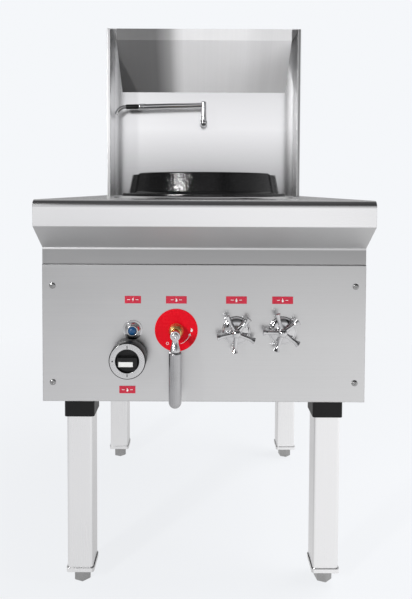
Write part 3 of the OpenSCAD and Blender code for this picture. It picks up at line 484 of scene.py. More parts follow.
# Hood: a painted reflection that darkens the left third, and a darker top band.
HOOD_TONES = (
    ("X", ((-0.20, 0.18), (-0.162, 0.19), (-0.140, 0.29), (-0.117, 0.42), (-0.093, 0.77), (-0.069, 1.0),
           (0.13, 1.0), (0.20, 0.88))),
    ("Z", ((1.20, 1.0), (1.3760, 1.0), (1.3770, 0.88), (1.42, 0.88))),
)

# Other finishes: colour, metallic, roughness, fineness of the grain (for all axes, or for each),
# fineness of the blotches, shade, bump, and what differs from the usual finish.
PLAIN = {
    "stainless_hood": ("steel", 0.05, (0.34, 0.46), (60.0, 1.2, 1.2), 4.0, 0.05, 0.05,
                       {"tones": HOOD_TONES}),
    "polished_steel": ("steel", 1.0, (0.14, 0.24), 300.0, 12.0, 0.04, 0.03, {}),
    "turned_steel": ("bare", 1.0, (0.20, 0.34), 500.0, 20.0, 0.08, 0.05, {}),
    "drawn_steel": ("grip", 1.0, (0.22, 0.36), (500.0, 500.0, 14.0), 20.0, 0.14, 0.10, {}),
    "screw_steel": ("screw", 1.0, (0.22, 0.36), 500.0, 60.0, 0.12, 0.05, {}),
    "chrome_plate": ("chrome", 1.0, (0.04, 0.09), 160.0, 30.0, 0.03, 0.02, {}),
    "cast_iron": ("iron", 0.0, (0.10, 0.17), 300.0, 10.0, 0.35, 1.0,
                  {"bump_mm": 0.6, "specular": 1.0, "detail": 1.0}),
    "black_enamel": ("enamel", 0.0, (0.35, 0.50), 250.0, 12.0, 0.3, 0.15, {"specular": 0.25}),
    "heat_darkened_steel": ("dark_steel", 0.6, (0.40, 0.62), 90.0, 14.0, 0.35, 0.25, {"bump_mm": 0.3}),
    "firebrick": ("brick", 0.0, (0.80, 0.95), 160.0, 18.0, 0.28, 0.7, {"bump_mm": 0.8}),
    "machined_brass": ("brass", 1.0, (0.18, 0.32), 300.0, 24.0, 0.10, 0.06, {}),
    "copper_tube": ("copper", 1.0, (0.22, 0.38), 200.0, 30.0, 0.12, 0.05, {}),
    "galvanised": ("zinc", 0.9, (0.35, 0.55), 120.0, 40.0, 0.16, 0.12, {}),
    "red_enamel": ("red", 0.0, (0.22, 0.32), 200.0, 16.0, 0.06, 0.04, {"specular": 0.12}),
    "label_red": ("label_red", 0.0, (0.35, 0.5), 260.0, 40.0, 0.10, 0.04, {}),
    "black_plastic": ("plastic", 0.0, (0.26, 0.42), 350.0, 30.0, 0.25, 0.10, {"specular": 0.3}),
    "blue_plastic": ("blue", 0.0, (0.12, 0.22), 250.0, 40.0, 0.12, 0.02, {}),
    "white_print": ("white", 0.0, (0.45, 0.6), 300.0, 60.0, 0.05, 0.03, {}),
    "white_ceramic": ("white", 0.0, (0.15, 0.3), 200.0, 50.0, 0.05, 0.04, {}),
}


def brushed(name, along, rough=(0.24, 0.34), shade=0.035, bump=0.06, edge_mm=1.5, tones=(), rough_tones=()):
    """Stainless sheet with fine streaks along one axis and soft edges."""
    stretch = [BRUSH_ALONG if axis == along else BRUSH_ACROSS for axis in "XYZ"]
    return finish(name, colours().steel, 1.0, rough, stretch, BRUSH_BLOTCH, shade, bump, edge_mm=edge_mm,
                  tones=tones, rough_tones=rough_tones)


def look(name):
    """Finish by its name in one of the two tables."""
    if name in BRUSHED:
        return brushed(name, **BRUSHED[name])
    colour, metallic, rough, fine, blotch, shade, bump, differs = PLAIN[name]
    stretch = np.broadcast_to(fine, 3).tolist()
    return finish(name, getattr(colours(), colour), metallic, rough, stretch, blotch, shade, bump, **differs)


def dress(piece, finish_name, body, slot, *nodes):
    """Gives a new piece its finish and its body, and hides the nodes that it stands for."""
    piece.data.materials.clear()
    piece.data.materials.append(look(finish_name))
    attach(piece, body)
    if nodes:
        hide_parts(*nodes)
    return piece


class RANGE_OT_finishes(bpy.types.Operator):
    """Gives every solid of the range its finish"""

    bl_idname = "wok_range.finishes"
    bl_label = "Finishes"

    BY_SLOT = {
        "stainless": "stainless_across", "black_paint": "black_enamel", "cast_iron": "cast_iron",
        "dark_steel": "heat_darkened_steel", "firebrick": "firebrick", "brass": "machined_brass",
        "copper": "copper_tube", "ceramic": "white_ceramic", "red_plate": "red_enamel",
        "chrome": "chrome_plate", "bare_steel": "turned_steel", "zinc": "galvanised",
        "black_plastic": "black_plastic", "blue_plastic": "blue_plastic",
    }
    BY_NODE = {
        "side_panel_left": "stainless_deep", "side_panel_right": "stainless_deep",
        "splash_wing_left": "stainless_wing_left", "splash_wing_right": "stainless_wing_right",
        "flue_hood": "stainless_hood", "deck": "stainless_deck", "control_panel": "stainless_panel",
        "splash_back": "stainless_back", "label_plates": "label_red",
    }

    def execute(self, context):
        for part in frame["record"]["subparts"]:
            name = part["node"]
            finish_name = self.BY_NODE.get(name, self.BY_SLOT[part["material_slot"]])
            if name.startswith("leg_"):
                finish_name = "stainless_upright"
            mesh = frame["nodes"][name].data
            mesh.materials.clear()
            mesh.materials.append(look(finish_name))
        return {"FINISHED"}


class RANGE_OT_ring(bpy.types.Operator):
    """Cast ring that carries the wok: a rounded profile carried around, with two side notches over pads"""

    bl_idname = "wok_range.ring"
    bl_label = "Wok ring"

    NOTCH_HALF = math.radians(31.0)
    NOTCH_RAMP = math.radians(2.0)
    PAD = 3.0 * MM
    PAD_RAMP = 3.0 * MM
    NECK_ROUND_SHARE = 2.0

    def execute(self, context):
        size = sizes()
        low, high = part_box("wok_ring")
        centre = middle("wok_ring")
        height = high.z - low.z
        flange_r = (high.x - low.x) / 2
        lip = (size.ring_top - size.ring_seat) / 2
        corners = [
            (size.ring_seat, 0.0), (flange_r, 0.0), (flange_r, size.ring_flange),
            (size.ring_body, size.ring_flange), (size.ring_top, height),
            (size.ring_seat + lip, height), (size.ring_seat, height - lip),
        ]
        soft = size.casting_round
        neck = self.NECK_ROUND_SHARE * soft
        profile = fillet(corners, [soft, soft, soft, neck, soft, soft, soft], steps=6, closed=True)
        points = turned(profile, (0.0, 0.0, 0.0), "z", steps=600)
        angle = np.arctan2(points[..., 1], points[..., 0])
        away = np.minimum(np.abs(angle), math.pi - np.abs(angle))
        reach = np.hypot(points[..., 0], points[..., 1])
        drop = size.notch_depth * smooth_step((self.NOTCH_HALF - away) / self.NOTCH_RAMP)
        points[..., 2] = np.minimum(points[..., 2], height - drop)
        wall = smooth_step((points[..., 2] - size.ring_flange) / self.PAD_RAMP)
        wall *= reach > size.ring_top - MM
        swell = 1.0 + wall * drop / size.notch_depth * self.PAD / reach
        points[..., 0] *= swell
        points[..., 1] *= swell
        points += np.array([centre[0], centre[1], low.z])
        piece = Shells().grid(points, close_rows=True).piece("wok_ring_casting")
        dress(piece, "cast_iron", "wok_ring", "cast_iron", "wok_ring")
        return {"FINISHED"}


class RANGE_OT_rim(bpy.types.Operator):
    """Pressed rim around the well: a low rounded bead carried around"""

    bl_idname = "wok_range.rim"
    bl_label = "Well rim"

    BEAD_ROUND = (0.2 * MM, 0.2 * MM, 6.0 * MM, 2.0 * MM)
    BEAD_SMOOTH_DEG = 50.0

    def execute(self, context):
        low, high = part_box("well_rim")
        outer = (high.x - low.x) / 2
        height = high.z - low.z
        inner = sizes().rim_hole
        corners = [(inner, 0.0), (outer, 0.0), (outer - height, height), (inner, height)]
        profile = fillet(corners, self.BEAD_ROUND, steps=8, closed=True)
        centre = middle("well_rim")
        points = turned(profile, (centre[0], centre[1], low.z), "z", steps=192)
        piece = Shells().grid(points, close_rows=True).piece("well_rim_bead", self.BEAD_SMOOTH_DEG)
        dress(piece, "polished_steel", "range", "stainless", "well_rim")
        return {"FINISHED"}


class RANGE_OT_taps(bpy.types.Operator):
    """Tap handles: turned hub and cap, with flared spokes around them, and domed escutcheons"""

    bl_idname = "wok_range.taps"
    bl_label = "Taps"

    SPOKES = 5
    FIRST_SPOKE = {"tank_tap_handle": 49.0, "faucet_tap_handle": 35.0}
    SPOKE_ALONG_SHARES = np.array([0.16, 0.30, 0.45, 0.60, 0.72, 0.84, 0.93, 0.975, 1.0, 1.0])
    SPOKE_WAIST_SHARES = np.array([1.45, 1.30, 1.08, 1.0, 1.02, 1.25])
    SPOKE_END_SHARES = np.array([0.90, 1.0, 0.78, 0.0])
    HUB = np.array([(0.0, -13.0), (11.0, -13.0), (12.5, -9.0), (12.5, -6.5), (10.4, -5.5), (12.8, -3.5),
                    (12.8, 1.0), (10.2, 2.5), (10.2, 3.6)]) * MM
    HUB_ROUND = 1.0 * MM
    HUB_FRONT = 12.0 * MM
    CAP_R = 9.6 * MM
    CAP_FOOT = 3.8 * MM
    SHAFT_R = 5.0 * MM
    HOLE_R = 11.1 * MM
    LIP = 2.0 * MM
    BEAD_SIDE = 1.8 * MM
    BEAD_IN = 2.0 * MM
    BEAD_TOP = 3.0 * MM
    BEAD_ROUND = 0.8 * MM

    def spoke(self, centre, angle):
        """Turned spoke along its own axis, in the plane of the panel."""
        size = sizes()
        along = self.SPOKE_ALONG_SHARES * size.spoke_reach
        waist = self.SPOKE_WAIST_SHARES * size.spoke_waist
        end = self.SPOKE_END_SHARES * size.spoke_end
        path_radius = np.concatenate([[0.0], waist, end])
        path_along = np.concatenate([along[:1], along])
        turn = around(28)
        out = np.array([math.cos(angle), 0.0, math.sin(angle)])
        across = np.array([-math.sin(angle), 0.0, math.cos(angle)])
        depth = np.array([0.0, 1.0, 0.0])
        ring = np.cos(turn)[..., None] * across + np.sin(turn)[..., None] * depth
        return centre + path_along[:, None, None] * out + path_radius[:, None, None] * ring

    def hub(self, centre):
        """Hub with two beads and a domed cap, from the back to the pole of the cap."""
        cap = dome(self.CAP_R, self.CAP_FOOT, self.HUB_FRONT - self.CAP_FOOT)
        profile = np.concatenate([fillet(self.HUB, self.HUB_ROUND, steps=4), cap])
        return turned(profile, centre, "y", steps=48)

    def execute(self, context):
        for name, first in self.FIRST_SPOKE.items():
            low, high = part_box(name)
            centre = middle(name)
            centre[1] = low.y + self.HUB_FRONT
            shells = Shells().grid(self.hub(centre))
            back = centre[1] - high.y
            front = -self.HUB_FRONT
            shaft = [(0.0, back), (self.SHAFT_R, back), (self.SHAFT_R, front), (0.0, front)]
            shells.grid(turned(shaft, centre, "y", steps=24))
            for i in range(self.SPOKES):
                shells.grid(self.spoke(centre, math.radians(first) + TURN * i / self.SPOKES))
            body = name.replace("_handle", "")
            dress(shells.piece(name + "_spoked"), "chrome_plate", body, "chrome", name)
        self.escutcheons()
        return {"FINISHED"}

    def escutcheons(self):
        """Two bored plates: a rounded bead at the edge, and a dome that stops at a lip around the hole."""
        low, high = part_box("tap_escutcheons")
        radius = (high.z - low.z) / 2
        rise = high.y - low.y
        shells = Shells()
        for x in (low.x + radius, high.x - radius):
            bead = [(radius, 0.0), (radius, self.BEAD_SIDE), (radius - self.BEAD_IN, self.BEAD_TOP)]
            shoulder = dome(radius - self.BEAD_TOP, self.BEAD_TOP, rise - self.BEAD_TOP, steps=10)
            shoulder = shoulder[shoulder[:, 0] > self.HOLE_R + self.LIP]
            close = [(self.HOLE_R, rise), (self.HOLE_R, 0.0)]
            profile = np.concatenate([fillet(bead, self.BEAD_ROUND, steps=4), shoulder, close])
            shells.grid(turned(profile, (x, high.y, (low.z + high.z) / 2), "y", steps=64), close_rows=True)
        dress(shells.piece("tap_escutcheon_domes"), "chrome_plate", "range", "chrome", "tap_escutcheons")


class RANGE_OT_knob(bpy.types.Operator):
    """Pilot knob: fluted drum with a pocket, grip bar, dial ring, ticks and a blank plate"""

    bl_idname = "wok_range.knob"
    bl_label = "Pilot knob"

    FLUTES = 40
    POCKET_R = 25.5 * MM
    POCKET_DEPTH = 8.0 * MM
    POCKET_DRAFT = 1.0 * MM
    BORE_R = 4.1 * MM
    BORE_DEPTH = 18.0 * MM
    BACK_IN = 2.0 * MM
    BACK_RISE = 3.0 * MM
    FLUTE_SHARE = 0.016
    FLUTE_FROM_SHARE = 0.95
    FLUTE_EDGE = 5.0 * MM
    FLUTE_RAMP = 3.0 * MM
    BAR = box_outline(-21.0, 21.0, -12.5, 7.5)
    BAR_ROUND = 4.0
    TICK = box_outline(-0.9, 0.9, 26.8, 33.0) * MM
    DOT_R = 1.6
    DOT_X = -31.0
    DIAL_ROUND = 0.4 * MM
    PLATE = box_outline(-15.0, 15.0, -5.2, 5.2)
    PLATE_ROUND = 1.0
    PLATE_PLACE = (-3.0 * MM, -6.5 * MM)
    PLATE_THICK = 0.4 * MM

    def execute(self, context):
        edge = sizes().edge_round
        low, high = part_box("pilot_knob")
        ring_low, ring_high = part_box("pilot_knob_ring")
        centre = middle("pilot_knob")
        face = high.y - ring_high.y
        radius = (high.x - low.x) / 2
        start = np.array([centre[0], high.y, centre[2]])
        floor = face - self.POCKET_DEPTH
        corners = [(self.BORE_R, 0.0), (radius - self.BACK_IN, 0.0), (radius, self.BACK_RISE),
                   (radius, face), (self.POCKET_R, face), (self.POCKET_R - self.POCKET_DRAFT, floor),
                   (0.0, floor)]
        bore = [(0.0, self.BORE_DEPTH), (self.BORE_R, self.BORE_DEPTH)]
        profile = np.concatenate([bore, fillet(corners, edge)])
        drum = turned(profile, (0.0, 0.0, 0.0), "y", steps=240)
        side = smooth_step((-drum[..., 1] - self.FLUTE_EDGE) / self.FLUTE_RAMP)
        side *= smooth_step((face - self.FLUTE_EDGE + drum[..., 1]) / self.FLUTE_RAMP)
        side *= self.FLUTE_SHARE
        reach = np.hypot(drum[..., 0], drum[..., 2])
        angle = np.arctan2(drum[..., 2], drum[..., 0])
        outside = reach > radius * self.FLUTE_FROM_SHARE
        flute = 1.0 - side * outside * (0.5 + 0.5 * np.cos(self.FLUTES * angle))
        drum[..., 0] *= flute
        drum[..., 2] *= flute
        shells = Shells().grid(drum + start)
        bar = fillet(self.BAR, self.BAR_ROUND, closed=True) * MM
        shells.plate(bar, (centre[0], centre[2]), low.y, high.y - face + self.POCKET_DEPTH)
        piece = shells.piece("pilot_knob_drum")
        dress(piece, "black_plastic", "pilot_knob", "black_plastic", "pilot_knob")
        self.dial(centre, ring_low, ring_high)
        self.plate(centre, low.y)
        return {"FINISHED"}

    def dial(self, centre, low, high):
        """Dial ring with rounded edges, and two black ticks and a dot on it."""
        outer = (high.x - low.x) / 2
        thick = high.y - low.y
        corners = [(self.POCKET_R, 0.0), (outer, 0.0), (outer, thick), (self.POCKET_R, thick)]
        profile = fillet(corners, self.DIAL_ROUND, steps=4, closed=True)
        points = turned(profile, (centre[0], high.y, centre[2]), "y", steps=128)
        ring = Shells().grid(points, close_rows=True).piece("pilot_dial_ring")
        dress(ring, "turned_steel", "pilot_knob", "bare_steel", "pilot_knob_ring")
        ticks = Shells()
        front = low.y - sizes().mark_height
        for turn in (0.0, math.pi):
            spin = np.array([[math.cos(turn), math.sin(turn)], [-math.sin(turn), math.cos(turn)]])
            ticks.plate(self.TICK @ spin, (centre[0], centre[2]), front, low.y)
        turn = around(20)[0]
        spot = np.stack([self.DOT_R * np.cos(turn) + self.DOT_X, self.DOT_R * np.sin(turn)], axis=1) * MM
        ticks.plate(spot, (centre[0], centre[2]), front, low.y)
        dress(ticks.piece("pilot_dial_ticks"), "black_plastic", "pilot_knob", "black_plastic")

    def plate(self, centre, front):
        """Blank white plate on the grip bar."""
        outline = fillet(self.PLATE, self.PLATE_ROUND, steps=4, closed=True) * MM
        where = (centre[0] + self.PLATE_PLACE[0], centre[2] + self.PLATE_PLACE[1])
        shells = Shells().plate(outline, where, front - self.PLATE_THICK, front)
        dress(shells.piece("pilot_blank_plate"), "white_print", "pilot_knob", "ceramic")


class RANGE_OT_igniter(bpy.types.Operator):
    """Igniter: turned chrome bezel on a thin flange, and a domed button"""

    bl_idname = "wok_range.igniter"
    bl_label = "Igniter"

    BORE_DEPTH = 48.0 * MM
    FLANGE_R = 21.5 * MM
    COLLAR_WALL = 2.8 * MM
    FLANGE = 1.2 * MM
    BARREL_R = 12.0 * MM
    BUTTON_RISE = 6.0 * MM
    BUTTON_CLEAR = 0.1 * MM
    COLLAR_RISE = 3.0 * MM

    def execute(self, context):
        low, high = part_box("igniter_body")
        centre = middle("igniter_body")
        button_low, button_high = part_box("igniter_button")
        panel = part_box("control_panel")[0].y
        bezel_r = (high.x - low.x) / 2
        button_r = (button_high.x - button_low.x) / 2
        bezel = panel - low.y
        bore = button_r + self.BUTTON_CLEAR
        back = panel - high.y
        corners = [(bore, bezel - self.BORE_DEPTH), (bore, bezel), (bore + self.COLLAR_WALL, bezel),
                   (bore + self.COLLAR_WALL, bezel - self.COLLAR_RISE), (bezel_r, 2.0 * self.FLANGE),
                   (bezel_r, self.FLANGE), (self.FLANGE_R, self.FLANGE), (self.FLANGE_R, 0.0),
                   (self.BARREL_R, 0.0), (self.BARREL_R, back), (0.0, back)]
        start = [(0.0, bezel - self.BORE_DEPTH)]
        profile = np.concatenate([start, fillet(corners, sizes().edge_round)])
        points = turned(profile, (centre[0], panel, centre[2]), "y", steps=72)
        piece = Shells().grid(points).piece("igniter_bezel")
        dress(piece, "chrome_plate", "range", "chrome", "igniter_body")
        length = button_high.y - button_low.y
        shoulder = length - self.BUTTON_RISE
        sides = np.array([(0.0, 0.0), (button_r, 0.0), (button_r, shoulder)])
        profile = np.concatenate([sides, dome(button_r, shoulder, self.BUTTON_RISE)])
        points = turned(profile, (centre[0], button_high.y, centre[2]), "y", steps=48)
        button = Shells().grid(points).piece("igniter_push_button")
        dress(button, "blue_plastic", "igniter_button", "blue_plastic", "igniter_button")
        return {"FINISHED"}


class RANGE_OT_lever(bpy.types.Operator):
    """Gas lever: a shank that widens from the eye to a round grip, and the bolt and bonnet"""

    bl_idname = "wok_range.lever"
    bl_label = "Gas lever"

    SPINDLE_HOLE_R = 6.1 * MM
    SHANK_SINK = 1.0 * MM
    SHANK_HALF_MM = (6.5, 3.6)
    SHANK_GROWTH_MM = (4.0, 6.0)
    SHOULDER = 3.5 * MM
    SHOULDER_IN = 3.0 * MM
    SHOULDER_ROUND = 1.5 * MM
    BOLT_R = 2.5 * MM
    BOLT_HEAD = 4.0 * MM
    BOLT_EDGE = (1.5 * MM, 0.8 * MM)
    BOLT_ROUND = 0.4 * MM
    DIMPLE = ((3.2 * MM, 0.0), (2.8 * MM, 2.2 * MM), (0.0, 2.4 * MM))
    BONNET_BORE_R = 11.1 * MM
    BONNET_STEP = (8.8 * MM, 9.0 * MM)
    BONNET_GROOVE = ((0.0, 7.0 * MM), (2.0 * MM, 8.2 * MM), (0.5 * MM, 9.5 * MM))
    BONNET_CONE = ((0.5 * MM, 9.0 * MM), (5.0 * MM, 0.0))

    def execute(self, context):
        arm_low, arm_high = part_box("lever_arm")
        grip_low, grip_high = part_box("lever_grip")
        centre = middle("lever_arm")
        eye = np.array([centre[0], centre[1], middle("lever_spindle")[2]])
        eye_r = (arm_high.x - arm_low.x) / 2
        thick = arm_high.y - arm_low.y
        corners = box_outline(self.SPINDLE_HOLE_R, eye_r, -thick / 2, thick / 2)
        profile = fillet(corners, sizes().edge_round, closed=True)
        shells = Shells().grid(turned(profile, eye, "y", steps=56), close_rows=True)
        shells.grid(self.shank(eye, eye_r, grip_high.z))
        dress(shells.piece("lever_shank"), "turned_steel", "lever", "bare_steel", "lever_arm")
        grip = self.grip(grip_low, grip_high, eye)
        dress(grip, "drawn_steel", "lever", "bare_steel", "lever_grip")
        self.bolt()
        self.bonnet()
        return {"FINISHED"}

    def shank(self, eye, eye_r, end_z):
        """Oval section that grows from the eye's edge to the grip's top."""
        t = np.linspace(0.0, 1.0, 14)
        drop = (eye_r - self.SHANK_SINK) * (1 - t) + (eye[2] - end_z) * t
        half_width = (self.SHANK_HALF_MM[0] + self.SHANK_GROWTH_MM[0] * smooth_step(t)) * MM
        half_depth = (self.SHANK_HALF_MM[1] + self.SHANK_GROWTH_MM[1] * smooth_step(t)) * MM
        half_width = np.concatenate([[0.0], half_width, [0.0]])
        half_depth = np.concatenate([[0.0], half_depth, [0.0]])
        drop = np.concatenate([drop[:1], drop, drop[-1:]])
        turn = around(36)
        across = half_width[:, None] * np.cos(turn)
        deep = half_depth[:, None] * np.sin(turn)
        below = np.broadcast_to(-drop[:, None], across.shape)
        return eye + np.stack([across, deep, below], axis=-1)

    def grip(self, low, high, eye):
        """Turned grip: a ball end below, a straight side and a rounded shoulder above."""
        radius = (high.x - low.x) / 2
        length = high.z - low.z
        t = np.linspace(0.0, math.pi / 2, 10)
        ball = np.stack([radius * np.sin(t), radius * (1 - np.cos(t))], axis=1)
        top = [(radius, length - self.SHOULDER), (radius - self.SHOULDER_IN, length), (0.0, length)]
        profile = np.concatenate([ball, fillet([ball[-1]] + top, self.SHOULDER_ROUND)])
        points = turned(profile, (eye[0], eye[1], low.z), "z", steps=56)
        return Shells().grid(points).piece("lever_round_grip")

    def bolt(self):
        """Turned bolt: a thin shank, and a head with a slanted edge and a round dimple."""
        low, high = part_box("lever_bolt")
        centre = middle("lever_bolt")
        radius = (high.x - low.x) / 2
        length = high.y - low.y
        neck = length - self.BOLT_HEAD
        edge_in, edge_down = self.BOLT_EDGE
        corners = [(0.0, 0.0), (self.BOLT_R, 0.0), (self.BOLT_R, neck), (radius, neck),
                   (radius, length - edge_down), (radius - edge_in, length)]
        corners += [(dimple_r, length - depth) for dimple_r, depth in self.DIMPLE]
        profile = fillet(corners, self.BOLT_ROUND, steps=4)
        points = turned(profile, (centre[0], high.y, centre[2]), "y", steps=36)
        piece = Shells().grid(points).piece("lever_bolt_head")
        dress(piece, "turned_steel", "lever", "bare_steel", "lever_bolt")

    def bonnet(self):
        """Brass bonnet: round skirt, groove and rounded cone, bored for the spindle."""
        low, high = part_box("main_valve_bonnet")
        centre = middle("main_valve_bonnet")
        radius = (high.x - low.x) / 2
        length = high.y - low.y
        bore = self.SPINDLE_HOLE_R
        wide_bore = self.BONNET_BORE_R
        step_low, step_high = self.BONNET_STEP
        corners = [(wide_bore, 0.0), (radius, 0.0)]
        corners += [(radius - inset, height) for inset, height in self.BONNET_GROOVE]
        corners += [(radius - inset, length - down) for inset, down in self.BONNET_CONE]
        corners += [(bore, length), (bore, step_high), (wide_bore, step_low)]
        profile = fillet(corners, sizes().edge_round, closed=True)
        points = turned(profile, (centre[0], high.y, centre[2]), "y", steps=64)
        piece = Shells().grid(points, close_rows=True).piece("bonnet_nut")
        dress(piece, "machined_brass", "range", "brass", "main_valve_bonnet")


def arc_band(radius, width, start_deg, end_deg, steps=24):
    """Outline of a band along an arc."""
    angle = np.radians(np.linspace(start_deg, end_deg, steps))
    ray = np.stack([np.cos(angle), np.sin(angle)], axis=1)
    return np.concatenate([ray * (radius + width / 2), (ray * (radius - width / 2))[::-1]])


DROP_HALF_SHARE = 0.36
DROP_POWER = 1.6
FLAME_LEAN_SHARE = 0.16
FLAME_WAVES = 1.4
SPARK_SHARES = np.array([(0.05, 0.5), (-0.28, -0.06), (-0.03, -0.06), (-0.10, -0.5), (0.28, 0.10),
                         (0.03, 0.10), (0.22, 0.5)])


def drop_sign(height):
    """Water drop: round below, pointed above."""
    t = around(32)[0]
    across = DROP_HALF_SHARE * np.sin(t) * np.sin(t / 2) ** DROP_POWER
    return np.stack([across, np.cos(t) / 2], axis=1) * height


def flame_sign(height):
    """Flame: a drop whose tip leans to one side."""
    outline = drop_sign(height)
    lift = outline[:, 1] / height + 0.5
    outline[:, 0] += FLAME_LEAN_SHARE * height * np.sin(lift * math.pi * FLAME_WAVES) * lift
    return outline


def spark_sign(height):
    """Zigzag spark."""
    return SPARK_SHARES * height


class RANGE_OT_signs(bpy.types.Operator):
    """Plain printed signs on the red plate and on the label plates"""

    bl_idname = "wok_range.signs"
    bl_label = "Printed signs"

    SIGN_SMOOTH_DEG = 20.0
    STROKE = 1.0
    ARC_R = 31.0
    ARC_DEG = (-72.0, -24.0)
    TIP_DEG = -16.0
    HEAD_LEAD = 2.4
    HEAD_BACK = 3.2
    HEAD_HALF = 3.0
    OFF_R = 2.6
    OFF_DEG = (0.0, 352.0)
    OFF_PLACE = (-19.0 * MM, -29.0 * MM)
    ON_PLACE = (33.0 * MM, 1.0 * MM)
    ON_TALL = 9.0 * MM
    LABEL_HALF = 8.0 * MM
    LOW_LABEL_HALF = 17.5 * MM
    SIGN_TALL = 8.5 * MM
    BAR = box_outline(-3.0, 3.0, -0.6, 0.6) * MM
    BAR_AWAY = 9.0 * MM

    def execute(self, context):
        self.dial()
        self.labels()
        return {"FINISHED"}

    def dial(self):
        """Arc with an arrow head in the lower right, a ring for off and a small flame for on."""
        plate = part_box("dial_plate")[0].y
        centre = middle("dial_plate")
        where = (centre[0], centre[2])
        front = plate - sizes().mark_height
        shells = Shells()
        shells.plate(arc_band(self.ARC_R, self.STROKE, *self.ARC_DEG) * MM, where, front, plate)
        tip = math.radians(self.TIP_DEG)
        ray = np.array([math.cos(tip), math.sin(tip)])
        side = np.array([-ray[1], ray[0]])
        back = side * self.HEAD_BACK
        head = np.array([ray * self.ARC_R + side * self.HEAD_LEAD,
                         ray * (self.ARC_R + self.HEAD_HALF) - back,
                         ray * (self.ARC_R - self.HEAD_HALF) - back])
        shells.plate(head * MM, where, front, plate)
        off = (where[0] + self.OFF_PLACE[0], where[1] + self.OFF_PLACE[1])
        shells.plate(arc_band(self.OFF_R, self.STROKE, *self.OFF_DEG, steps=32) * MM, off, front, plate)
        on = (where[0] + self.ON_PLACE[0], where[1] + self.ON_PLACE[1])
        shells.plate(flame_sign(self.ON_TALL), on, front, plate)
        dress(shells.piece("dial_signs", self.SIGN_SMOOTH_DEG), "white_print", "range", "ceramic")

    def labels(self):
        """A sign between two short bars on each label plate."""
        low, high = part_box("label_plates")
        front = low.y - sizes().mark_height
        top_z = high.z - self.LABEL_HALF
        marks = [
            (middle("igniter_body")[0], top_z, spark_sign),
            (middle("dial_plate")[0], top_z, flame_sign),
            (middle("tank_tap_valve")[0], top_z, drop_sign),
            (middle("faucet_tap_valve")[0], top_z, drop_sign),
            (low.x + self.LOW_LABEL_HALF, low.z + self.LABEL_HALF, flame_sign),
        ]
        shells = Shells()
        for x, z, sign in marks:
            shells.plate(sign(self.SIGN_TALL), (x, z), front, low.y)
            for away in (-self.BAR_AWAY, self.BAR_AWAY):
                shells.plate(self.BAR, (x + away, z), front, low.y)
        dress(shells.piece("label_signs", self.SIGN_SMOOTH_DEG), "white_print", "range", "ceramic")


class RANGE_OT_screws(bpy.types.Operator):
    """Domed panel screws with a dimple"""

    bl_idname = "wok_range.screws"
    bl_label = "Panel screws"

    HEAD_R = 6.75 * MM
    SHANK_R = 2.5 * MM
    HEAD_EDGE = 0.8 * MM
    CAP_IN = 0.3 * MM
    CAP_FOOT = 0.9 * MM
    CAP_HOLE_R = 2.4 * MM
    DIMPLE = ((2.0 * MM, 0.4 * MM), (1.6 * MM, 1.8 * MM), (0.0, 2.0 * MM))

    def execute(self, context):
        low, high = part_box("panel_screws")
        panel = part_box("control_panel")[0].y
        radius = self.HEAD_R
        rise = panel - low.y
        back = panel - high.y
        corners = [(0.0, back), (self.SHANK_R, back), (self.SHANK_R, 0.0), (radius, 0.0),
                   (radius, self.HEAD_EDGE)]
        cap = dome(radius - self.CAP_IN, self.CAP_FOOT, rise - self.CAP_FOOT)
        cap = cap[cap[:, 0] > self.CAP_HOLE_R]
        dimple = [(reach, rise - depth) for reach, depth in self.DIMPLE]
        profile = np.concatenate([corners, cap, dimple])
        shells = Shells()
        for x in (low.x + radius, high.x - radius):
            for z in (low.z + radius, high.z - radius):
                shells.grid(turned(profile, (x, panel, z), "y", steps=40))
        dress(shells.piece("panel_screw_heads"), "screw_steel", "range", "chrome", "panel_screws")
        return {"FINISHED"}


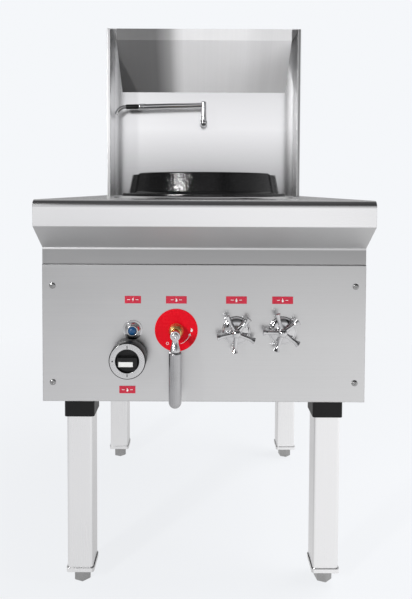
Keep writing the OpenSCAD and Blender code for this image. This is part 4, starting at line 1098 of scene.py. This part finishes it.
class RANGE_OT_faucet(bpy.types.Operator):
    """Swing arm: turned riser, drooping tube with a knurled collar, and a spout bent down at its end"""

    bl_idname = "wok_range.faucet"
    bl_label = "Faucet"

    DROOP = math.radians(1.7)
    ARM = 225.0 * MM
    COLLAR = 22.0 * MM
    SPOUT = 48.0 * MM
    BEND_R = 34.0 * MM
    BEND = math.radians(74.0)
    WAY = np.array([-math.cos(DROOP), 0.0, -math.sin(DROOP)])
    DOWN = np.array([math.sin(DROOP), 0.0, -math.cos(DROOP)])
    SIDE = np.array([0.0, 1.0, 0.0])
    RISER_R = 8.5 * MM
    RISER_ROUND = 0.8 * MM
    RISER_FOOT = ((0.9 * MM, 0.0), (0.9 * MM, 7.0 * MM), (-0.4 * MM, 8.0 * MM))
    RISER_HEAD = ((-0.4 * MM, 24.0 * MM), (0.0, 22.0 * MM), (0.0, 2.0 * MM), (-2.5 * MM, 0.0))
    ELBOW_TOP = 12.0 * MM
    TUBE_BELOW_TOP = 12.0 * MM
    TUBE_STEP = 1.0 * MM
    TUBE_STOPS = (60.0 * MM, 120.0 * MM)
    MOUTH_SHARE = 0.80
    MOUTH_DEPTH = 9.0 * MM
    KNURLS = 36
    KNURL = 0.35 * MM
    COLLAR_IN = np.array([0.0, 0.0, 1.5, 4.0, 5.0]) * MM
    COLLAR_R = np.array([0.0, 8.6, 9.4, 9.4, 9.0]) * MM
    COLLAR_RIPPLE = np.array([0.0, 0.0, 0.0, 0.0, KNURL])
    SLEEVE = 44.0 * MM
    SLEEVE_GAP = 2.0 * MM
    SLEEVE_CLEAR = 0.1 * MM
    SLEEVE_IN = np.array([0.0, 0.0, 0.6, 2.0]) * MM
    SLEEVE_R = np.array([7.2, 8.0, 8.25]) * MM

    def execute(self, context):
        size = sizes()
        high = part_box("faucet_arm")[1]
        axis_x = high.x - self.RISER_R
        axis_y = middle("faucet_arm")[1]
        shells = Shells()
        shells.grid(self.riser((axis_x, axis_y), middle("faucet_elbow")[2] + self.ELBOW_TOP, high.z))
        start = np.array([axis_x, axis_y, high.z - self.TUBE_BELOW_TOP])
        shells.grid(self.tube(start, size))
        shells.grid(self.collar(start))
        dress(shells.piece("swing_arm_tube"), "chrome_plate", "swing_arm", "chrome", "faucet_arm")
        self.grip(start, size)
        return {"FINISHED"}

    def riser(self, axis, foot_z, top_z):
        """Turned riser with a bead at its foot and a thicker head that carries the tube."""
        radius = self.RISER_R
        foot = [(radius + out, foot_z + up) for out, up in self.RISER_FOOT]
        head = [(radius + out, top_z - down) for out, down in self.RISER_HEAD]
        corners = [(0.0, foot_z)] + foot + head + [(0.0, top_z)]
        return turned(fillet(corners, self.RISER_ROUND, steps=4), (axis[0], axis[1], 0.0), "z", steps=40)

    def along(self, start, distance):
        """Points on the drooping line of the arm."""
        return start + np.asarray(distance, float).reshape(-1, 1) * self.WAY

    def tube(self, start, size):
        """Circles carried along a path: straight tube, step down to the spout, bend, and a hollow mouth."""
        reach = self.ARM + self.SPOUT
        straight = np.array([0.0, 0.0, *self.TUBE_STOPS, self.ARM - self.TUBE_STEP, self.ARM, self.ARM,
                             reach - self.TUBE_STEP])
        radius = [0.0] + [size.arm_tube] * 5 + [size.spout_tube] * 2
        t = np.linspace(0.0, self.BEND, 16)
        bend = self.along(start, [reach]) + self.BEND_R * (
            np.sin(t)[:, None] * self.WAY + (1 - np.cos(t))[:, None] * self.DOWN)
        path = np.concatenate([self.along(start, straight), bend])
        heading = np.concatenate([np.repeat(self.WAY[None], len(straight), axis=0),
                                  np.cos(t)[:, None] * self.WAY + np.sin(t)[:, None] * self.DOWN])
        inner = np.array([self.MOUTH_SHARE, self.MOUTH_SHARE, 0.0]) * size.spout_tube
        depth = np.array([0.0, self.MOUTH_DEPTH, self.MOUTH_DEPTH])
        mouth = path[-1] - depth[:, None] * heading[-1]
        path = np.concatenate([path, mouth])
        heading = np.concatenate([heading, np.repeat(heading[-1:], len(depth), axis=0)])
        radius = np.concatenate([radius, np.full(len(t), size.spout_tube), inner])
        up = np.cross(heading, self.SIDE)
        turn = around(32)[..., None]
        ring = self.SIDE * np.cos(turn) + up[:, None] * np.sin(turn)
        return path[:, None] + ring * radius.reshape(-1, 1, 1)

    def collar(self, start):
        """Knurled collar: a ring whose radius ripples around between two smooth beads."""
        near = self.ARM - self.COLLAR
        along = np.concatenate([near + self.COLLAR_IN, (self.ARM - self.COLLAR_IN)[::-1]])
        radius = np.concatenate([self.COLLAR_R, self.COLLAR_R[::-1]])
        ripple = np.concatenate([self.COLLAR_RIPPLE, self.COLLAR_RIPPLE[::-1]])
        return self.rings(start, along, radius, 4 * self.KNURLS, ripple)

    def grip(self, start, size):
        """Black sleeve with rounded ends on the spout."""
        near = self.ARM + self.SLEEVE_GAP
        far = near + self.SLEEVE
        bore = size.spout_tube + self.SLEEVE_CLEAR
        along = np.concatenate([near + self.SLEEVE_IN, (far - self.SLEEVE_IN)[::-1]])
        radius = np.concatenate([[bore], self.SLEEVE_R, self.SLEEVE_R[::-1], [bore]])
        points = self.rings(start, along, radius, steps=36)
        piece = Shells().grid(points, close_rows=True).piece("spout_grip_sleeve")
        dress(piece, "black_plastic", "swing_arm", "black_plastic", "arm_grip")

    def rings(self, start, along, radius, steps, ripple=0.0):
        """Circles of given radii across the drooping line of the arm, with a square ripple where asked."""
        turn = around(steps)
        ripple = np.broadcast_to(ripple, radius.shape)
        reach = radius[:, None] + ripple[:, None] * np.sign(np.sin(self.KNURLS * turn))
        ring = np.cos(turn)[..., None] * self.SIDE + np.sin(turn)[..., None] * self.DOWN
        return self.along(start, along)[:, None] + reach[..., None] * ring


class RANGE_OT_feet(bpy.types.Operator):
    """Screw feet: a stepped profile carried around, drawn in to six faces below the stem"""

    bl_idname = "wok_range.feet"
    bl_label = "Feet"

    FACES = 6
    FACE_TURN = math.radians(20.0)
    STEM_R = 8.0 * MM
    TOP = 30.0 * MM
    OVER_TOP = 0.1 * MM
    SIDE_MM = ((1.5, 0.0), (0.0, 2.0), (0.0, 24.0), (1.5, 25.0), (1.5, 27.0), (0.0, 28.0), (0.0, 30.0))
    ROUND = np.array([0.0, 0.8, 0.8, 0.6, 0.4, 0.4, 0.6, 0.6, 0.4, 1.5, 0.0]) * MM

    def execute(self, context):
        for name in ("foot_front_left", "foot_front_right", "foot_rear_left", "foot_rear_right"):
            low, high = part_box(name)
            centre = middle(name)
            radius = (high.x - low.x) / 2
            side = [(radius - inset * MM, height * MM) for inset, height in self.SIDE_MM]
            stem = [(self.STEM_R, self.TOP), (self.STEM_R, high.z), (0.0, high.z)]
            profile = fillet([(0.0, 0.0)] + side + stem, self.ROUND, steps=6)
            points = turned(profile, (0.0, 0.0, 0.0), "z", steps=72)
            angle = np.arctan2(points[..., 1], points[..., 0])
            half_face = TURN / self.FACES / 2
            across = np.mod(angle + self.FACE_TURN, 2 * half_face) - half_face
            hexagon = math.cos(half_face) / np.cos(across)
            below_stem = points[..., 2] < self.TOP + self.OVER_TOP
            points[..., :2] *= np.where(below_stem, hexagon, 1.0)[..., None]
            points += np.array([centre[0], centre[1], 0.0])
            piece = Shells().grid(points).piece(name + "_bullet")
            dress(piece, "screw_steel", name, "bare_steel", name)
        return {"FINISHED"}


class RANGE_OT_stage(bpy.types.Operator):
    """Camera at the photograph's view, soft lamps, pale floor and background"""

    bl_idname = "wok_range.stage"
    bl_label = "Studio stage"

    IMAGE_TALL = 599.0
    FOCAL_PX = 558.2
    VIEW_CENTRE = (206.0 - 201.2, 209.83 - 299.5)
    SENSOR = 36.0
    BEFORE_NOSE = 1.132
    EYE = (-0.00707, 0.8813)
    PITCH = math.radians(2.067)
    ROLL = math.radians(0.25)
    ROOM_TONES = ((0.40, 0.60), (0.46, 1.0), (0.49, 1.0), (0.52, 0.98), (0.57, 0.98), (0.66, 0.22),
                  (0.80, 0.07))
    SIDE_TONES = ((0.20, 0.30), (0.24, 0.04), (0.30, 0.05), (0.36, 0.86), (0.50, 0.97), (0.62, 1.0),
                  (0.68, 0.95), (0.72, 0.07), (0.78, 0.06), (0.82, 0.90))
    ROOM_ENDS = ((0.30, 0.30, 0.31), (0.16, 0.16, 0.165))
    ROOM_BLUE = 1.02
    SIDE_ENDS = ((0.25, 0.25, 0.25), (0.70, 0.70, 0.70))
    BACK_TONE = 0.42
    BACK_REACH = (0.1, 0.5)
    CARD_TONE = 0.45
    CARD_HIGH = (0.26, 0.42)
    CARD_BACK = (0.25, 0.40)
    ROOM_LEVEL = 1.7
    FLOOR_HALF = 14.0
    FLOOR_MATTE = (0.8, 0.8, 0.82)
    FLOOR_DARK = (0.62, 0.62, 0.63)
    FLOOR_LIGHT = (1.0, 1.0, 1.0)
    FLOOR_SIDES = (-1.2, 1.2)
    FLOOR_MIRROR_SHARE = 0.85
    FLOOR_NEAR_SHARE = 0.88
    FLOOR_FADE = (0.5, 2.0)
    # Name, place, turn in degrees, size, watts, and whether reflections show the lamp.
    LAMPS = (
        ("box_above", (2.2, 0.5, 2.8), (0.0, 36.0, 0.0), (1.9, 2.0), 75.0, False),
        ("box_right", (2.6, -0.6, 1.7), (75.0, 0.0, 80.0), (1.2, 2.2), 30.0, False),
        ("box_left", (-1.72, -2.4, 1.7), (72.0, 0.0, -36.0), (0.22, 0.7), 45.0, True),
    )

    def execute(self, context):
        self.camera(context)
        self.floor(context)
        self.world(context)
        self.lamps(context)
        context.scene.view_settings.view_transform = "Standard"
        return {"FINISHED"}

    def camera(self, context):
        """Camera before the nose of the deck, tilted down a little, with a fitted lens and shift."""
        data = bpy.data.cameras.new("photo_camera")
        data.sensor_width = self.SENSOR
        data.lens = self.FOCAL_PX / self.IMAGE_TALL * self.SENSOR
        data.shift_x = self.VIEW_CENTRE[0] / self.IMAGE_TALL
        data.shift_y = self.VIEW_CENTRE[1] / self.IMAGE_TALL
        camera = bpy.data.objects.new("photo_camera", data)
        tilt = Matrix.Rotation(math.pi / 2 - self.PITCH, 4, "X") @ Matrix.Rotation(self.ROLL, 4, "Z")
        place = Matrix.Translation((self.EYE[0], CAD_BOX[0][1] - self.BEFORE_NOSE, self.EYE[1]))
        camera.matrix_world = place @ tilt
        context.scene.collection.objects.link(camera)
        context.scene.camera = camera

    def floor(self, context):
        """Pale floor: mostly the backdrop to the camera, brighter to the right in mirrors, else matt."""
        mesh = bpy.data.meshes.new("studio_floor")
        half = self.FLOOR_HALF
        corners = [(-half, -half, 0), (half, -half, 0), (half, half, 0), (-half, half, 0)]
        mesh.from_pydata(corners, [], [(0, 1, 2, 3)])
        floor = bpy.data.objects.new("studio_floor", mesh)
        context.scene.collection.objects.link(floor)
        material, nodes, links = node_material("pale_floor")
        nodes.remove(nodes["Principled BSDF"])
        sideways = ramped(nodes, links, places(nodes, links)["X"], 0.0, 1.0, *self.FLOOR_SIDES)
        place = nodes.new("ShaderNodeTexCoord")
        far = nodes.new("ShaderNodeVectorMath")
        far.operation = "LENGTH"
        links.new(place.outputs["Object"], far.inputs[0])
        matte = nodes.new("ShaderNodeBsdfDiffuse")
        matte.inputs["Color"].default_value = (*self.FLOOR_MATTE, 1.0)
        mirrored = nodes.new("ShaderNodeEmission")
        glow = tinted(nodes, links, sideways, self.FLOOR_DARK, self.FLOOR_LIGHT)
        links.new(glow, mirrored.inputs["Color"])
        seen = nodes.new("ShaderNodeEmission")
        seen.inputs["Color"].default_value = (*colours().backdrop, 1.0)
        ray = nodes.new("ShaderNodeLightPath").outputs
        sight = joined(nodes, links, "MAXIMUM", ray["Is Glossy Ray"], ray["Is Transmission Ray"])
        mirror_share = ramped(nodes, links, sight, 0.0, self.FLOOR_MIRROR_SHARE, 0.0, 1.0)
        near_share = ramped(nodes, links, far.outputs["Value"], self.FLOOR_NEAR_SHARE, 1.0, *self.FLOOR_FADE)
        camera_share = joined(nodes, links, "MULTIPLY", ray["Is Camera Ray"], near_share)
        ground = self.mixed(nodes, links, mirror_share, matte, mirrored)
        surface = self.mixed(nodes, links, camera_share, ground, seen)
        links.new(surface.outputs[0], nodes["Material Output"].inputs["Surface"])
        mesh.materials.append(material)

    def mixed(self, nodes, links, share, first, second):
        """Shader between two others by a share."""
        mix = nodes.new("ShaderNodeMixShader")
        links.new(share, mix.inputs[0])
        links.new(first.outputs[0], mix.inputs[1])
        links.new(second.outputs[0], mix.inputs[2])
        return mix

    def world(self, context):
        """Studio room: tones by height and by side, greyer behind, with a card high up at the back.

        The camera sees a flat backdrop instead. Matt surfaces get more light than the room shows.
        """
        world = bpy.data.worlds.new("studio")
        world.use_nodes = True
        nodes = world.node_tree.nodes
        links = world.node_tree.links
        way = places(nodes, links, "Generated")
        height = tone_ramp(nodes, links, way["Z"], -1.0, 1.0, self.ROOM_ENDS, self.ROOM_TONES,
                           self.ROOM_BLUE)
        sideways = tone_ramp(nodes, links, way["X"], -1.0, 1.0, self.SIDE_ENDS, self.SIDE_TONES)
        behind = ramped(nodes, links, way["Y"], 1.0, self.BACK_TONE, *self.BACK_REACH)
        shaded = nodes.new("ShaderNodeVectorMath")
        shaded.operation = "SCALE"
        links.new(times(nodes, links, height, sideways), shaded.inputs[0])
        links.new(behind, shaded.inputs["Scale"])
        high = ramped(nodes, links, way["Z"], 0.0, self.CARD_TONE, *self.CARD_HIGH)
        back = ramped(nodes, links, way["Y"], 0.0, 1.0, *self.CARD_BACK)
        room = nodes.new("ShaderNodeVectorMath")
        room.operation = "ADD"
        links.new(shaded.outputs[0], room.inputs[0])
        links.new(joined(nodes, links, "MULTIPLY", high, back), room.inputs[1])
        ray = nodes.new("ShaderNodeLightPath").outputs
        mix = nodes.new("ShaderNodeMix")
        mix.data_type = "RGBA"
        mix.inputs[MIX_SECOND].default_value = (*colours().backdrop, 1.0)
        links.new(ray["Is Camera Ray"], mix.inputs[MIX_SHARE])
        links.new(room.outputs[0], mix.inputs[MIX_FIRST])
        links.new(mix.outputs[MIX_RESULT], nodes["Background"].inputs["Color"])
        sight = joined(nodes, links, "MAXIMUM", ray["Is Glossy Ray"], ray["Is Transmission Ray"])
        sight = joined(nodes, links, "MAXIMUM", ray["Is Camera Ray"], sight)
        bright = ramped(nodes, links, sight, self.ROOM_LEVEL, 1.0, 0.0, 1.0)
        links.new(bright, nodes["Background"].inputs["Strength"])
        context.scene.world = world

    def lamps(self, context):
        """Soft boxes: a broad one above, one at the cook's right and a narrow one at the left."""
        for name, place, turn_deg, size, watts, mirrored in self.LAMPS:
            data = bpy.data.lights.new(name, "AREA")
            data.shape = "RECTANGLE"
            data.size = size[0]
            data.size_y = size[1]
            data.energy = watts
            lamp = bpy.data.objects.new(name, data)
            lamp.visible_glossy = mirrored
            lamp.location = place
            lamp.rotation_euler = [math.radians(turn) for turn in turn_deg]
            context.scene.collection.objects.link(lamp)


class RANGE_PT_panel(bpy.types.Panel):
    """Lists the steps that dress the range"""

    bl_idname = "RANGE_PT_panel"
    bl_label = "Wok Range"
    bl_space_type = "VIEW_3D"
    bl_region_type = "UI"
    bl_category = "Wok Range"

    def draw(self, context):
        """One button for each step."""
        for step in STEPS:
            self.layout.operator(step.bl_idname)


STEPS = (
    RANGE_OT_stage, RANGE_OT_finishes, RANGE_OT_ring, RANGE_OT_rim, RANGE_OT_taps, RANGE_OT_knob,
    RANGE_OT_igniter, RANGE_OT_lever, RANGE_OT_signs, RANGE_OT_screws, RANGE_OT_faucet, RANGE_OT_feet,
)
CLASSES = (RangeSizes, RangeColours, *STEPS, RANGE_PT_panel)


def register():
    """Registers the classes and hangs the two groups of values on the scene."""
    for cls in CLASSES:
        bpy.utils.register_class(cls)
    bpy.types.Scene.range_sizes = bpy.props.PointerProperty(type=RangeSizes)
    bpy.types.Scene.range_colours = bpy.props.PointerProperty(type=RangeColours)


def unregister():
    """Takes back what register does, in reverse."""
    del bpy.types.Scene.range_colours
    del bpy.types.Scene.range_sizes
    for cls in reversed(CLASSES):
        bpy.utils.unregister_class(cls)


def main():
    """Runs the steps in order."""
    register()
    bpy.ops.wok_range.stage()
    bpy.ops.wok_range.finishes()
    bpy.ops.wok_range.ring()
    bpy.ops.wok_range.rim()
    bpy.ops.wok_range.taps()
    bpy.ops.wok_range.knob()
    bpy.ops.wok_range.igniter()
    bpy.ops.wok_range.lever()
    bpy.ops.wok_range.signs()
    bpy.ops.wok_range.screws()
    bpy.ops.wok_range.faucet()
    bpy.ops.wok_range.feet()


if __name__ == "__main__":
    main()
